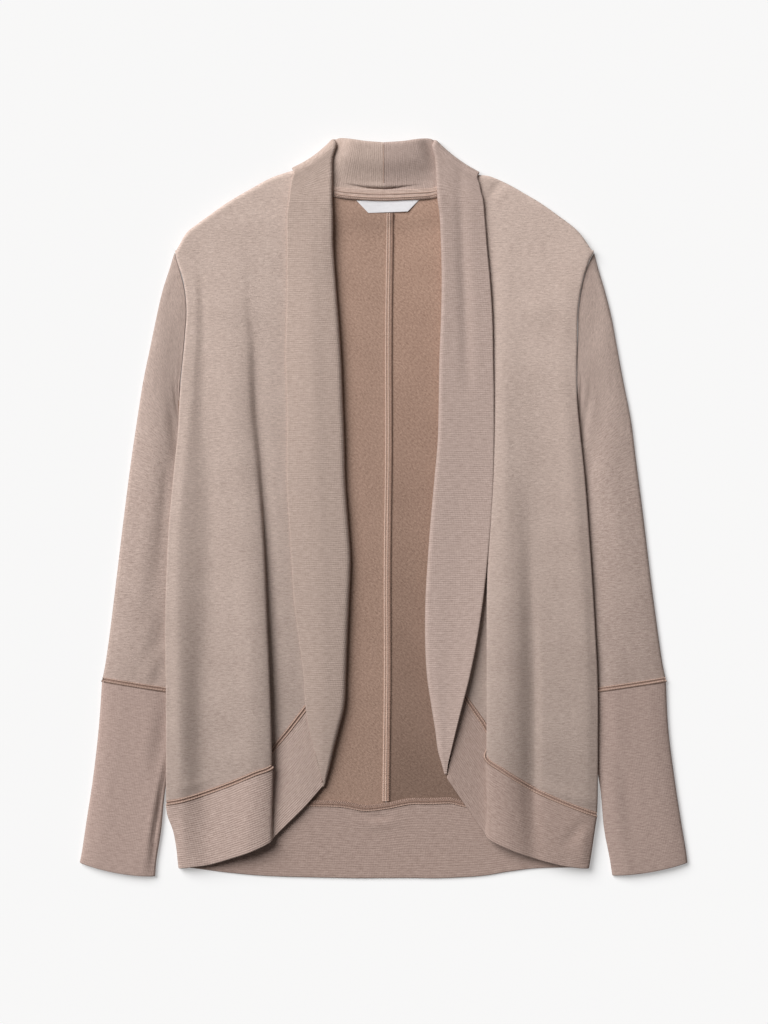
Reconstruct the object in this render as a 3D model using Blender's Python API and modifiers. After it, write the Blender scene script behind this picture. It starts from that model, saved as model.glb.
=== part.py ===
# Open-front cardigan with a shawl collar, laid flat on its back.
# Frame: metres, +Z up, neck toward +Y, hem toward -Y, the floor at z = 0.
# Tables are in millimetres. "Out" is the distance from the centre line, for each side.

import bpy
import bmesh
import numpy as np
from math import cos, pi, radians, sin

MM = 0.001
CLOTH = 1.4        # smooth knit of the body and sleeves
RIB = 2.4          # doubled rib of the collar and hem bands
CUFF_RIB = 1.8     # doubled fine rib of the cuffs
SEAM = 0.3         # space between two pieces at a seam
BUTT = 0.8         # the same between curved edges, measured at the middle of the walls
FLOOR_LAYER = CLOTH / 2
SHOULDER_SPLIT = 3.85   # height where front and back meet at the shoulder
OVER_SLEEVE = 5.1       # back panel where it lies on the sleeve folded under it
OVER_COLLAR = 3.6       # back panel where it lies on the collar's fall
COLLAR_AXIS = 5.6       # height of the line the collar turns about at the shoulder
BACK_SEAM = (5.0, 2.5)  # centre-back seam: out to the right at the neck, at the hem

BODY_COLOUR = (0.47, 0.36, 0.315, 1)
RIB_COLOUR = (0.45, 0.345, 0.30, 1)
TAPE_COLOUR = (0.50, 0.36, 0.30, 1)
LABEL_COLOUR = (0.78, 0.77, 0.76, 1)


def columns(text):
    lines = [line.split() for line in text.strip().split("\n")]
    values = np.array([[float(v) for v in line] for line in lines[1:]])
    return {name: values[:, i] for i, name in enumerate(lines[0])}


def smooth(xs, ys, x):
    """Monotone cubic through the points of a table, in either order of xs."""
    xs, ys = np.asarray(xs, float), np.asarray(ys, float)
    if xs[0] > xs[-1]:
        xs, ys = xs[::-1], ys[::-1]
    x = np.clip(x, xs[0], xs[-1])
    h = np.diff(xs)
    s = np.diff(ys) / h
    m = np.zeros(len(xs))
    m[0], m[-1] = s[0], s[-1]
    for i in range(1, len(xs) - 1):
        if s[i - 1] * s[i] > 0:
            w1, w2 = 2 * h[i] + h[i - 1], h[i] + 2 * h[i - 1]
            m[i] = (w1 + w2) / (w1 / s[i - 1] + w2 / s[i])
    i = np.clip(np.searchsorted(xs, x) - 1, 0, len(xs) - 2)
    t = (x - xs[i]) / h[i]
    return ((1 + 2 * t) * (1 - t) ** 2 * ys[i] + t * (1 - t) ** 2 * h[i] * m[i]
            + t * t * (3 - 2 * t) * ys[i + 1] + t * t * (t - 1) * h[i] * m[i + 1])


def ease(a, b, x):
    t = min(max((x - a) / (b - a), 0.0), 1.0)
    return t * t * (3 - 2 * t)


# Collar, front part: sections straight across, from the opening's seam (under the fall),
# in to the roll line, and back out over it to the free edge. Heights of the stand at the
# seam and at the roll, of the fall at the roll, half way and at its free edge.
COLLAR = {
    "left": columns("""
        y    free   seam   roll   stand  under  over  fall  edge
        308   94.5   87.5  52.0   7.6    7.2   10.6  10.4  10.2
        293   96.5   89.5  51.5   7.0    6.4   10.4   9.8   9.6
        263   96.5   89.5  51.3   5.6    5.0    9.6   8.6   8.4
        228   96.5   89.5  50.0   4.6    4.0    9.0   7.6   7.3
        188   97.0   90.0  47.5   3.9    3.3    8.6   6.9   6.6
        148   98.0   91.0  45.5   3.7    3.0    8.6   6.7   6.4
        108   96.5   89.5  44.0   3.6    3.0    8.8   6.7   6.4
         68   96.5   89.5  42.5   3.6    3.0    8.9   6.7   6.4
         28   96.5   89.5  41.5   3.6    3.0    8.9   6.7   6.4
        -12   94.5   87.5  38.7   3.6    3.0    8.9   6.7   6.4
        -52   92.0   85.0  36.2   3.6    3.0    8.9   6.7   6.4
        -92   89.5   82.5  36.5   3.6    3.0    8.9   6.7   6.4
       -132   84.5   77.5  37.2   3.6    3.0    8.8   6.7   6.4
       -167   80.0   73.0  38.5   3.7    3.1    8.6   6.8   6.6
       -197   78.0   70.9  40.0   4.0    3.5    8.6   7.1   7.0
       -222   74.0   66.9  46.0   4.2    3.8    8.6   7.4   7.3
       -242   69.0   63.7  51.0   4.2    4.0    8.4   7.4   7.3
       -257   65.0   61.3  54.0   4.2    4.2    8.0   7.4   7.3
       -266   62.7   59.8  55.5   4.2    4.2    7.4   7.3   7.3"""),
    "right": columns("""
        y    free   seam   roll   stand  under  over  fall  edge
        308   99.5   92.5  55.0   7.6    7.2   10.6  10.4  10.4
        293  101.0   94.0  57.0   7.0    6.4   10.4   9.8  10.0
        263  103.3   96.3  58.5   5.6    5.0    9.6   8.6   9.4
        228  106.5   99.5  59.2   4.6    4.0    9.0   7.6   9.0
        188  109.0  102.0  57.5   3.9    3.3    8.6   6.9   9.0
        148  109.8  102.8  55.1   3.7    3.0    8.6   6.7   9.2
        108  110.5  103.5  54.5   3.6    3.0    8.8   6.7   9.4
         68  110.5  103.5  53.5   3.6    3.0    8.9   6.7   9.6
         28  109.8  102.8  50.5   3.6    3.0    8.9   6.7   9.8
        -12  107.5  100.5  47.5   3.6    3.0    8.9   6.7   9.8
        -52  104.0   97.0  44.5   3.6    3.0    8.9   6.7   9.8
        -92   99.5   92.5  43.0   3.6    3.0    8.9   6.7   9.6
       -132   93.5   86.5  42.7   3.6    3.0    8.8   6.7   9.2
       -167   86.5   79.5  44.5   3.7    3.1    8.6   6.8   8.8
       -197   79.0   73.8  47.0   4.0    3.5    8.6   7.1   8.6
       -222   73.5   69.8  51.0   4.2    3.8    8.6   7.4   8.2
       -242   69.5   66.7  55.0   4.2    4.0    8.4   7.4   7.8
       -257   67.0   64.3  57.5   4.2    4.2    8.0   7.4   7.4
       -266   65.5   62.9  59.5   4.2    4.2    7.4   7.3   7.3"""),
}

# Collar, at the shoulder and round the back neck: free edge, seam and roll line, out and y.
# "turn" is how far the collar has turned about its axis, 180 behind the neck.
COLLAR_NECK = {
    "left": columns("""
        turn  free  free_y  seam  seam_y  roll  roll_y
        0     93.0  321.0   86.2  320.0   52.0  336.0
        0     91.7  330.5   84.0  329.0   51.5  350.0
        0     87.3  335.4   79.5  335.8   49.0  360.0
        36    87.3  335.4   79.5  335.8   49.0  360.0
        72    87.3  335.4   79.5  335.8   49.0  360.0
        108   87.3  335.4   79.5  335.8   49.0  360.0
        144   87.3  335.4   79.5  335.8   49.0  360.0
        180   87.3  335.4   79.5  335.8   49.0  360.0
        180   82.5  327.0   72.5  329.5   45.0  365.4
        180   66.5  313.0   59.5  321.0   40.0  367.4
        180   43.5  305.0   42.5  315.0   31.5  366.8
        180   21.5  302.5   21.5  312.0   17.5  365.0
        180    0.2  302.0    0.2  311.2    0.2  363.6"""),
    "right": columns("""
        turn  free  free_y  seam  seam_y  roll  roll_y
        0     97.5  318.0   91.0  318.0   53.5  334.0
        0     95.8  327.0   88.5  326.0   52.5  349.0
        0     92.3  331.0   85.0  332.0   51.0  359.5
        36    92.3  331.0   85.0  332.0   51.0  359.5
        72    92.3  331.0   85.0  332.0   51.0  359.5
        108   92.3  331.0   85.0  332.0   51.0  359.5
        144   92.3  331.0   85.0  332.0   51.0  359.5
        180   92.3  331.0   85.0  332.0   51.0  359.5
        180   87.0  323.0   77.0  327.0   47.5  364.8
        180   69.5  311.0   62.5  319.5   42.5  366.8
        180   46.5  304.5   45.5  314.5   33.5  366.4
        180   22.5  302.2   22.5  312.0   19.5  365.0
        180    0.2  302.0    0.2  311.2    0.2  363.6"""),
}
NECK_HEIGHTS = dict(stand=7.2, under=7.2, over=10.0, fall=10.0, edge=10.0)

# Side fold of the body: below the underarm, and the armhole seam above it.
SIDE = {
    "left": columns("""
        y     edge
        255   208.3
        247   206.5
        240   204.2
        224   199.5
        208   197.5
        193   196.7
        178   197.9
        148   200.5
        118   203.5
         88   204.7
         28   210.5
        -32   215.5
       -122   218.3
       -192   217.5
       -294   217.3
       -307   215.5
       -327   208.5
       -360   204.5"""),
    "right": columns("""
        y     edge
        255   210.1
        247   205.7
        240   202.9
        224   198.5
        208   195.4
        193   194.2
        178   194.1
        148   193.1
        118   193.3
         88   195.5
         28   201.5
        -32   206.0
       -122   211.7
       -192   214.5
       -294   214.0
       -305   213.5
       -317   211.5
       -338   208.5
       -360   205.0"""),
}
# Height at which front and back meet along that fold.
SPLIT = columns("""
    y     z
    255   3.9
    236   5.2
    222   6.5
   -262   6.5
   -294   5.0
   -360   3.9""")

# Fronts: where each fold runs, out from the centre, and its height.
FOLDS = {
    "left": columns("""
        y    recess  foot   wall   crown  slope  valley  round
        338  111.5   135.5  143.5  158.5  173.5  185.5   197.5
        308  111.5   135.5  143.5  158.5  173.5  185.5   197.5
        253  112.5   134.5  143.0  158.5  173.5  185.5   195.5
        208  113.5   133.5  141.5  157.5  172.5  180.5   187.5
        168  113.5   129.5  137.5  154.5  170.5  180.5   188.0
        108  112.5   128.0  135.0  150.5  167.5  180.5   192.0
         48  109.5   123.0  129.0  144.5  163.5  178.5   196.5
        -32  103.5   117.0  122.0  137.0  157.5  176.0   202.5
       -112   98.5   113.0  117.5  132.5  153.5  174.5   204.5
       -192   94.5   110.7  114.9  130.0  151.5  173.5   204.5
       -257   91.5   109.5  113.5  129.0  150.5  173.0   204.0
       -342   83.5   109.5  113.5  129.0  150.5  171.5   191.5"""),
    "right": columns("""
        y    foot   wall   crown  slope  trough  rise   plateau  round
        338  103.5  109.5  118.5  128.5  140.5   154.5  172.5    196.5
        308  105.5  111.5  118.5  128.5  140.5   154.5  172.5    196.5
        253  107.0  112.5  119.5  128.5  140.5   154.5  172.5    190.5
        208  109.5  114.5  120.5  128.5  140.5   154.5  169.5    183.5
        168  108.5  112.5  120.5  128.5  140.5   154.5  168.5    182.0
        108  107.0  110.5  120.5  128.5  139.5   153.5  168.5    182.0
         48  106.0  108.5  120.5  128.5  138.5   153.5  172.5    187.5
        -32  105.0  105.5  120.0  129.5  140.5   155.5  176.5    193.5
       -112  104.5  103.9  119.5  130.5  142.5   157.5  180.5    199.5
       -192  104.5  103.7  119.5  131.5  144.5   159.5  182.5    202.5
       -257  104.5  103.7  119.5  131.5  142.5   159.5  182.5    202.5
       -342  105.5  106.5  121.5  133.5  145.5   159.5  180.5    196.5"""),
}
FOLD_HEIGHTS = {
    "left": columns("""
        y    seam  recess  foot  wall   crown  slope  valley  round  edge
        338  7.3   7.2     7.0   7.0    7.0    7.0    7.0     7.0    7.0
        308  7.2   7.0     7.0   7.0    7.0    7.0    7.0     7.0    7.0
        253  5.0   6.0     6.4   6.8    7.0    7.0    7.0     7.4    7.2
        208  4.2   5.4     6.0   7.4    8.2    7.6    7.0     8.2    8.0
        168  3.8   5.0     5.6   8.6    9.4    8.0    7.0     8.6    8.0
        108  3.6   4.6     5.0   9.6   11.0    8.6    7.2     9.4    8.0
         48  3.6   4.3     4.6  11.0   12.6    9.4    7.3    10.2    8.0
        -32  3.6   4.0     4.3  12.6   14.4   10.6    7.4    10.6    8.0
       -112  3.6   3.9     4.2  13.6   15.6   11.2    7.4    10.8    8.0
       -192  3.8   3.9     4.2  14.0   16.0   11.6    7.4    10.8    8.0
       -257  4.2   4.2     4.3  13.6   15.6   11.4    7.6    10.4    8.0
       -342  4.2   4.2     4.4  11.5   13.2    9.6    7.0     8.4    6.8"""),
    "right": columns("""
        y    seam  foot  wall  crown  slope  trough  rise  plateau  round  edge
        338  7.3   7.0   7.0   7.0    7.0    7.0     7.0   7.0      7.0    7.0
        308  7.2   7.0   7.0   7.0    7.0    7.0     7.0   7.0      7.0    7.0
        253  5.0   5.4   6.0   6.6    6.8    6.8     7.0   7.0      7.4    7.2
        208  4.2   4.6   5.6   6.6    6.8    6.8     7.2   7.4      8.2    8.0
        168  3.8   4.4   5.6   6.8    7.0    6.8     7.4   7.8      8.6    8.0
        108  3.6   4.2   6.0   8.2    8.0    6.6     7.8   8.6      9.4    8.0
         48  3.6   4.2   6.4   9.8    9.0    6.2     8.6   9.8     10.2    8.0
        -32  3.6   4.2   7.4  11.4    9.8    6.0     9.4  10.6     10.6    8.0
       -112  3.6   4.2   8.8  13.0   10.6    6.0     9.8  11.0     10.6    8.0
       -192  3.9   4.2  10.0  14.4   11.4    6.2    10.0  11.2     10.6    8.0
       -257  4.2   4.4  10.2  14.6   11.6    6.6     9.8  10.8     10.2    8.0
       -342  4.2   4.6   9.0  12.2   10.0    7.0     8.6   9.0      8.4    6.8"""),
}
SHOULDER = {
    "left": ((207.5, 257), (201.5, 267.4), (195.5, 275.4), (185.5, 283.4), (174.5, 291.4),
             (163.5, 299.4), (151.5, 307.4), (137.5, 315.4), (123.5, 323.4), (107.5, 331.4),
             (98.5, 335.2), (92.5, 337), (87.5, 337.8), (82.5, 338.3)),
    "right": ((208.5, 257), (200.5, 267.4), (194.5, 275.4), (185.5, 283.4), (174.5, 291.4),
              (163.5, 299.4), (151.5, 307.4), (137.5, 315.4), (123.5, 323.4), (106.5, 330.6),
              (99.5, 332.2), (93.5, 332.3), (87.6, 332.8)),
}
# Hem band of each front: its seam to the front, and its lower edge, for each fold.
HEM = {
    "left": {"seam": (72.8, -193, 60.6, -272.5), "recess": (93.5, -220, 80.5, -305.5),
             "foot": (110.3, -242.6, 109.5, -333.5), "wall": (112.9, -258.2, 114.5, -337.5),
             "crown": (128.5, -264.5, 133.5, -343.5), "slope": (150.5, -274, 151.5, -349.6),
             "valley": (172.5, -282.5, 171.5, -356), "round": (203.5, -291.5, 191.5, -358.8),
             "edge": (217.3, -294, 204.5, -360)},
    "right": {"seam": (77.3, -182.6, 64.2, -271.5), "foot": (102.5, -221.5, 101, -325),
              "wall": (103.5, -249, 107, -333), "crown": (119.5, -261.5, 121.5, -339),
              "slope": (131.5, -269.5, 134.5, -344.5), "trough": (143.5, -277, 146.5, -348.6),
              "rise": (159.5, -285, 162.5, -353.3), "plateau": (182.5, -294.8, 180.5, -357.6),
              "round": (202.5, -302.3, 196.5, -359.7), "edge": (213.5, -305.5, 205, -360)},
}
# Neck seam of the back, its hem seam and the hem's lower edge, as x and y.
NECK_SEAM = ((-79.5, 334.6), (-72.5, 328.6), (-59.5, 320.1), (-42.5, 314.2),
             (-21.5, 311.3), (0, 310.5), (22.5, 311.3), (45.5, 313.7), (62.5, 318.6),
             (77, 326.0), (85, 330.6))
BACK_HEM_SEAM = ((-217.3, -294), (-183.5, -295), (-133.5, -295), (-72.9, -295),
                 (-42.5, -296.6), (-17.8, -299.7), (3.5, -298), (34.3, -292.8),
                 (64.5, -292.8), (81.5, -296), (136.5, -300), (186.5, -303.5),
                 (213.5, -305.5))
BACK_HEM_EDGE = ((-204.5, -360), (-184.5, -358.9), (-150, -365), (-106.5, -368),
                 (-61.5, -369.2), (-11.7, -370), (16.5, -369.5), (49.5, -370),
                 (95.5, -367.8), (136.5, -361.7), (176.5, -358.5), (205, -360))

# Inner edge of the sleeve that lies under the body, and how far the back is lifted there.
UNDER_SLEEVE = columns("""
    y     left   right  lift
    150   203.5  193.5  0.0
    135   203.5  193.5  0.05
    118   203.5  193.5  0.45
    100   203.5  193.5  1.0
     84   203.0  193.0  1.0
     75   199.5  190.5  1.0
     63   193.0  186.5  1.0
     47   182.5  178.5  1.0
     28   169.5  168.5  1.0
      8   158.5  158.5  1.0
    -22   151.5  151.5  1.0
    -77   156.5  156.5  1.0
   -132   176.5  176.5  1.0
   -167   192.0  191.0  1.0
   -184   200.5  199.5  1.0
   -227   206.5  205.5  1.0
   -257   213.5  211.0  1.0
   -273   216.5  214.0  1.0
   -296   216.5  214.0  0.25
   -320   216.5  214.0  0.0""")

# Sleeves, flattened tubes: outer and inner edge of each ring, its bow toward the armhole's
# curve, how high the upper layer stands, and how far across the body comes to lie on it.
SLEEVE = {
    "left": columns("""
        out    out_y   in     in_y    bow   crown  under
        208.8  255.5   205.0   98.0   1.0   5.4    0.94
        213.5  240.0   205.0   91.0   0.75  5.5    0.94
        220.5  218.0   203.0   84.0   0.5   5.7    0.86
        226.5  192.0   199.5   75.0   0.25  5.8    0.74
        233.0  161.0   193.0   63.0   0.1   5.9    0.62
        240.0  128.0   182.5   47.0   0.0   6.0    0.56
        246.5   88.0   169.5   28.0   0.0   6.0    0.50
        252.5   48.0   158.5    8.0   0.0   6.0    0.43
        260.3  -12.0   151.5  -22.0   0.0   6.0    0.39
        267.5  -72.0   156.5  -77.0   0.0   6.0    0.42
        274.2 -127.0   176.5 -132.0   0.0   6.0    0.54
        278.2 -155.0   191.5 -166.0   0.0   5.8    0.66
        281.2 -170.6   200.5 -183.8   0.0   5.4    0.74"""),
    "right": columns("""
        out    out_y   in     in_y    bow   crown  under
        210.6  255.5   194.8   98.0   1.0   5.4    0.94
        214.5  240.0   194.8   91.0   0.75  5.5    0.94
        221.0  218.0   193.0   84.0   0.5   5.7    0.88
        227.5  192.0   190.5   75.0   0.25  5.8    0.80
        233.3  161.0   186.5   63.0   0.1   5.9    0.72
        239.5  128.0   178.5   47.0   0.0   6.0    0.64
        247.5   88.0   168.5   28.0   0.0   6.0    0.58
        252.7   48.0   158.5    8.0   0.0   6.0    0.51
        260.5  -12.0   151.5  -22.0   0.0   6.0    0.46
        267.7  -72.0   156.5  -77.0   0.0   6.0    0.48
        275.0 -127.0   176.5 -132.0   0.0   6.0    0.60
        279.1 -155.0   191.0 -166.0   0.0   5.8    0.70
        282.3 -170.6   200.0 -183.2   0.0   5.4    0.77"""),
}
CUFF = {
    "left": columns("""
        out    out_y   in     in_y    bow  crown  under
        281.5 -171.9   200.5 -185.1   0.0  5.6    0.74
        284.9 -220.0   207.1 -231.0   0.0  6.2    0.82
        290.6 -270.0   217.5 -280.0   0.0  6.2    0.94
        297.0 -312.0   222.0 -323.0   1.0  6.2    0.94
        301.5 -342.0   226.7 -353.0   2.5  6.0    0.94
        303.9 -354.5   227.9 -368.2   3.5  5.6    0.94"""),
    "right": columns("""
        out    out_y   in     in_y    bow  crown  under
        282.5 -171.9   200.0 -184.5   0.0  5.6    0.77
        284.9 -220.0   206.5 -230.0   0.0  6.2    0.84
        291.1 -270.0   216.0 -278.0   0.0  6.2    0.94
        297.5 -312.0   220.0 -320.0   1.0  6.2    0.94
        302.5 -342.0   226.0 -352.0   2.5  6.0    0.94
        304.1 -354.5   228.3 -367.4   3.0  5.6    0.94"""),
}

# How a panel bends over at an edge: distance from the edge and rise, as shares of its fall.
BEND = ((1.0, 0.0), (0.55, 0.13), (0.15, 0.5), (0.0, 1.0))


def side_edge(side, y):
    return float(smooth(SIDE[side]["y"], SIDE[side]["edge"], y)) - CLOTH / 2


def split(y):
    return float(smooth(SPLIT["y"], SPLIT["z"], y))


def along(points, x):
    p = sorted(points)
    return float(smooth([a for a, b in p], [b for a, b in p], x))


def collar_seam(side, y):
    """The collar's seam line, as far up as the point of the shoulder."""
    table, neck = COLLAR[side], COLLAR_NECK[side]
    ys = list(table["y"][::-1]) + list(neck["seam_y"][:3])
    outs = list(table["seam"][::-1]) + list(neck["seam"][:3])
    corner = 3.0 * ease(neck["seam_y"][1] - 4, neck["seam_y"][2], y)
    return float(np.interp(y, ys, outs)) + corner


def fold_out(side, name, y):
    if name == "seam":
        return collar_seam(side, y) + BUTT + 0.9 * ease(260, 290, y)
    if name == "edge":
        return side_edge(side, y)
    return float(smooth(FOLDS[side]["y"], FOLDS[side][name], y))


def fold_height(side, name, y):
    return float(smooth(FOLD_HEIGHTS[side]["y"], FOLD_HEIGHTS[side][name], y))


def top_of(side, name):
    """y at which a fold line meets the shoulder."""
    y = 300.0
    for _ in range(30):
        y = along(SHOULDER[side], fold_out(side, name, y))
    return y


def bent_columns(names, spread):
    """The folds, then the steps by which the side bends down."""
    return [(name, 0.0, 0.0) for name in names[:-1]] + [
        (names[-1], spread * share, drop) for share, drop in BEND]


def front_points(side):
    names = [n for n in FOLD_HEIGHTS[side] if n != "y"]
    rows = [0, 0.012, 0.05, 0.10, 0.155, 0.205, 0.26, 0.32, 0.38, 0.44, 0.5, 0.56,
            0.62, 0.68, 0.74, 0.80, 0.86, 0.92, 0.97, 1.0]
    tops = {n: top_of(side, n) for n in names}
    tops["edge"] = SHOULDER[side][0][1]
    grid = []
    for step, (share, drop) in enumerate(BEND[:0:-1]):
        grid.append((share * 3.1, drop, 0.0))
    grid += [(3.1, 0.0, v) for v in rows]
    out = []
    for inset, top_drop, v in grid:
        line = []
        for name, pull, drop in bent_columns(names, 1.6):
            y0, y1 = tops[name] - inset, HEM[side][name][1]
            y = y0 + (y1 - y0) * v
            d = fold_out(side, name, y) - pull
            if v == 1.0:
                d = HEM[side][name][0] - pull - (CLOTH / 2 if name == "edge" else 0)
            z = fold_height(side, name, y)
            fall = max(drop * (z - split(y)), top_drop * (z - SHOULDER_SPLIT))
            line.append((d, y, z - fall))
        out.append(line)
    return out


def hem_front_points(side):
    names = [n for n in FOLD_HEIGHTS[side] if n != "y"]
    top = front_points(side)[-1]
    top_plan = np.array([[p[0], p[1]] for p in top])
    steps = bent_columns(names, 1.6)
    out = []
    for w in (0.0, 0.18, 0.42, 0.68, 0.92, 1.0):
        line = []
        for i, (name, pull, drop) in enumerate(steps):
            run = top_plan[min(i + 1, len(steps) - 1)] - top_plan[max(i - 1, 0)]
            down = np.array([run[1], -run[0]]) / np.hypot(*run)
            if down[1] > 0:
                down = -down
            start = top_plan[i] + down * BUTT
            x1, y1 = HEM[side][name][2:]
            end = np.array([x1 - pull - (CLOTH / 2 if name == "edge" else 0), y1])
            d, y = start + (end - start) * w
            if name == "edge":
                d = side_edge(side, y) - pull
            z0 = fold_height(side, name, top_plan[i][1])
            z1 = fold_height(side, name, -342)
            z = z0 + (z1 - z0) * w
            line.append((d, y, z - drop * (z - split(y))))
        out.append(line)
    return out


def under_edge(side, y):
    return float(smooth(UNDER_SLEEVE["y"], UNDER_SLEEVE[side], y))


def lift(y):
    return float(smooth(UNDER_SLEEVE["y"], UNDER_SLEEVE["lift"], y))


def back_seam(y):
    return float(np.interp(y, (-300, 310), BACK_SEAM[::-1]))


def back_points(side):
    sign = -1 if side == "left" else 1
    neck = [(sign * x, y) for x, y in NECK_SEAM if sign * x >= -1]
    top = neck + [p for p in SHOULDER[side]]
    hem = [(sign * x, y) for x, y in BACK_HEM_SEAM if sign * x > -25]
    rows = [0, 0.012, 0.03, 0.055, 0.10, 0.16, 0.21, 0.245, 0.275, 0.305, 0.34, 0.375, 0.41,
            0.46, 0.55, 0.64, 0.73, 0.80, 0.88, 0.955, 1.0]
    grid = [(share * 2.6, drop, 0.0) for share, drop in BEND[:0:-1]]
    grid += [(2.6, 0.0, v) for v in rows]
    corner = max(d for d, y in neck)
    knots = sorted(d for d, y in neck if d > 5)
    shares = [("mid", 0.0)] + [("neck", k) for k in range(len(knots))] + [("mid", 0.8)]
    shares += [("ramp", s) for s in (0.0, 0.35, 0.7, 1.0)] + [("side", 0.5)]
    shares += [("bend", s) for s in BEND]
    out = []
    for inset, rise, v in grid:
        line = []
        for kind, share in shares:
            y = 0.0
            for _ in range(6):
                seam = sign * back_seam(y) + SEAM / 2
                edge = side_edge(side, y)
                foot = min(under_edge(side, y) - 17, edge - 22)
                crest = min(under_edge(side, y) - 2, edge - 8)
                if kind == "mid":
                    d = seam + (foot - seam) * share
                elif kind == "neck":
                    d = seam + (foot - seam) * 0.13 * (share + 1)
                    d = d + (knots[share] - d) * ease(60, 280, y)
                elif kind == "ramp":
                    d = foot + (crest - foot) * share
                elif kind == "side":
                    d = crest + (edge - 3.2 - crest) * share
                else:
                    d = edge - 2.2 * share[0]
                y0 = along(top, min(d, 207.5)) - inset
                y1 = along(hem, d)
                y = y0 + (y1 - y0) * v
            up = lift(y)
            z = FLOOR_LAYER
            if kind == "ramp":
                z += up * (OVER_SLEEVE - z) * ease(0, 1, share)
            if kind in ("side", "bend"):
                z += up * (OVER_SLEEVE - z)
            below = y0 + inset - y
            near = (1 - ease(16, 34, below)) * (1 - ease(corner + 9, corner + 24, d))
            z = max(z, FLOOR_LAYER + near * (OVER_COLLAR - FLOOR_LAYER))
            if kind == "bend":
                z += share[1] * (split(y) - 1.0 - z) * ease(0.6, 1.0, up)
                if up < 0.6:
                    d -= SEAM / 2
            on_shoulder = ease(corner - 2, corner + 5, d)
            z += rise * on_shoulder * max(0, SHOULDER_SPLIT - BUTT - z)
            line.append((d, y, z))
        out.append(line)
    return out


def hem_back_points():
    """Runs from side to side, below the two halves of the back."""
    top = []
    for side, sign in (("left", -1), ("right", 1)):
        line = [(sign * d, y, side, i) for i, (d, y, z) in enumerate(back_points(side)[-1])]
        top += line[:0:-1] if side == "left" else [(BACK_SEAM[1], line[0][1], side, 0)] + line[1:]
    bends = len(back_points("left")[-1]) - len(BEND)
    out = []
    for w in (0.0, 0.2, 0.5, 0.85, 1.0):
        line = []
        for x, y0, side, i in top:
            sign = -1 if side == "left" else 1
            y = y0 - SEAM + (along(BACK_HEM_EDGE, x) - y0) * w
            z = RIB / 2
            if i >= bends:
                share = BEND[i - bends]
                x = sign * (side_edge(side, y) - 2.2 * share[0])
                z += lift(y) * (OVER_SLEEVE - z)
                z += share[1] * (split(y) - 1.4 - z)
            line.append((x, y, z))
        out.append(line)
    return out


def armhole_bow(side, t, start, end):
    """How far the armhole's curve lies from the straight line between its ends."""
    y = start[1] + (end[1] - start[1]) * t
    straight = start[0] + (end[0] - start[0]) * t
    return min(side_edge(side, y) + CLOTH / 2 + SEAM - straight, 0)


ACROSS = (0.035, 0.12, 0.24, 0.38, 0.52, 0.66, 0.82, 0.965)


def tube_points(side, table, wall, gap, sag):
    low = wall / 2
    end_top = low + wall + gap
    radius = (end_top - low) / 2
    first = (table["out"][0], table["out_y"][0]), (table["in"][0], table["in_y"][0])
    out = []
    for i in range(len(table["out"])):
        a = np.array([table["out"][i], table["out_y"][i]])
        b = np.array([table["in"][i], table["in_y"][i]])
        run = (b - a) / np.hypot(*(b - a))
        width = np.hypot(*(b - a))

        def place(t):
            p = a + (b - a) * t
            if sag:
                p = p + np.array([0, -4 * t * (1 - t) * table["bow"][i]])
            else:
                p = p + np.array([table["bow"][i] * armhole_bow(side, t, *first), 0])
            return p

        def upper(t):
            top = table["crown"][i]
            rise = min(ease(-0.02, 0.2, t), 1 - ease(table["under"][i] - 0.2,
                                                      table["under"][i], t))
            return end_top + (top - end_top) * rise

        ring = [(*place(t), upper(t)) for t in ACROSS]
        inner = place(1.0) - run * (radius + wall / 2)
        for k in (1, 2):
            angle = pi / 2 - k * pi / 3
            ring.append((*(inner + run * radius * cos(angle)),
                         low + radius + radius * sin(angle)))
        ring += [(*place(t), low) for t in ACROSS[::-1]]
        outer = place(0.0) + run * (radius + wall / 2)
        for k in (1, 2):
            angle = -pi / 2 - k * pi / 3
            ring.append((*(outer + run * radius * cos(angle)),
                         low + radius + radius * sin(angle)))
        out.append(ring)
    return out


def collar_sections(side):
    """(turn, free, seam, roll, heights) of each section, from the hem to the back neck."""
    table, neck = COLLAR[side], COLLAR_NECK[side]
    found = []
    for i in range(len(table["y"]) - 1, -1, -1):
        y = table["y"][i]
        heights = {k: table[k][i] for k in NECK_HEIGHTS}
        found.append((0.0, (table["free"][i], y), (table["seam"][i], y),
                      (table["roll"][i], y), heights))
    for i in range(len(neck["turn"])):
        found.append((neck["turn"][i], (neck["free"][i], neck["free_y"][i]),
                      (neck["seam"][i], neck["seam_y"][i]),
                      (neck["roll"][i], neck["roll_y"][i]), NECK_HEIGHTS))
    return found


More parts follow.
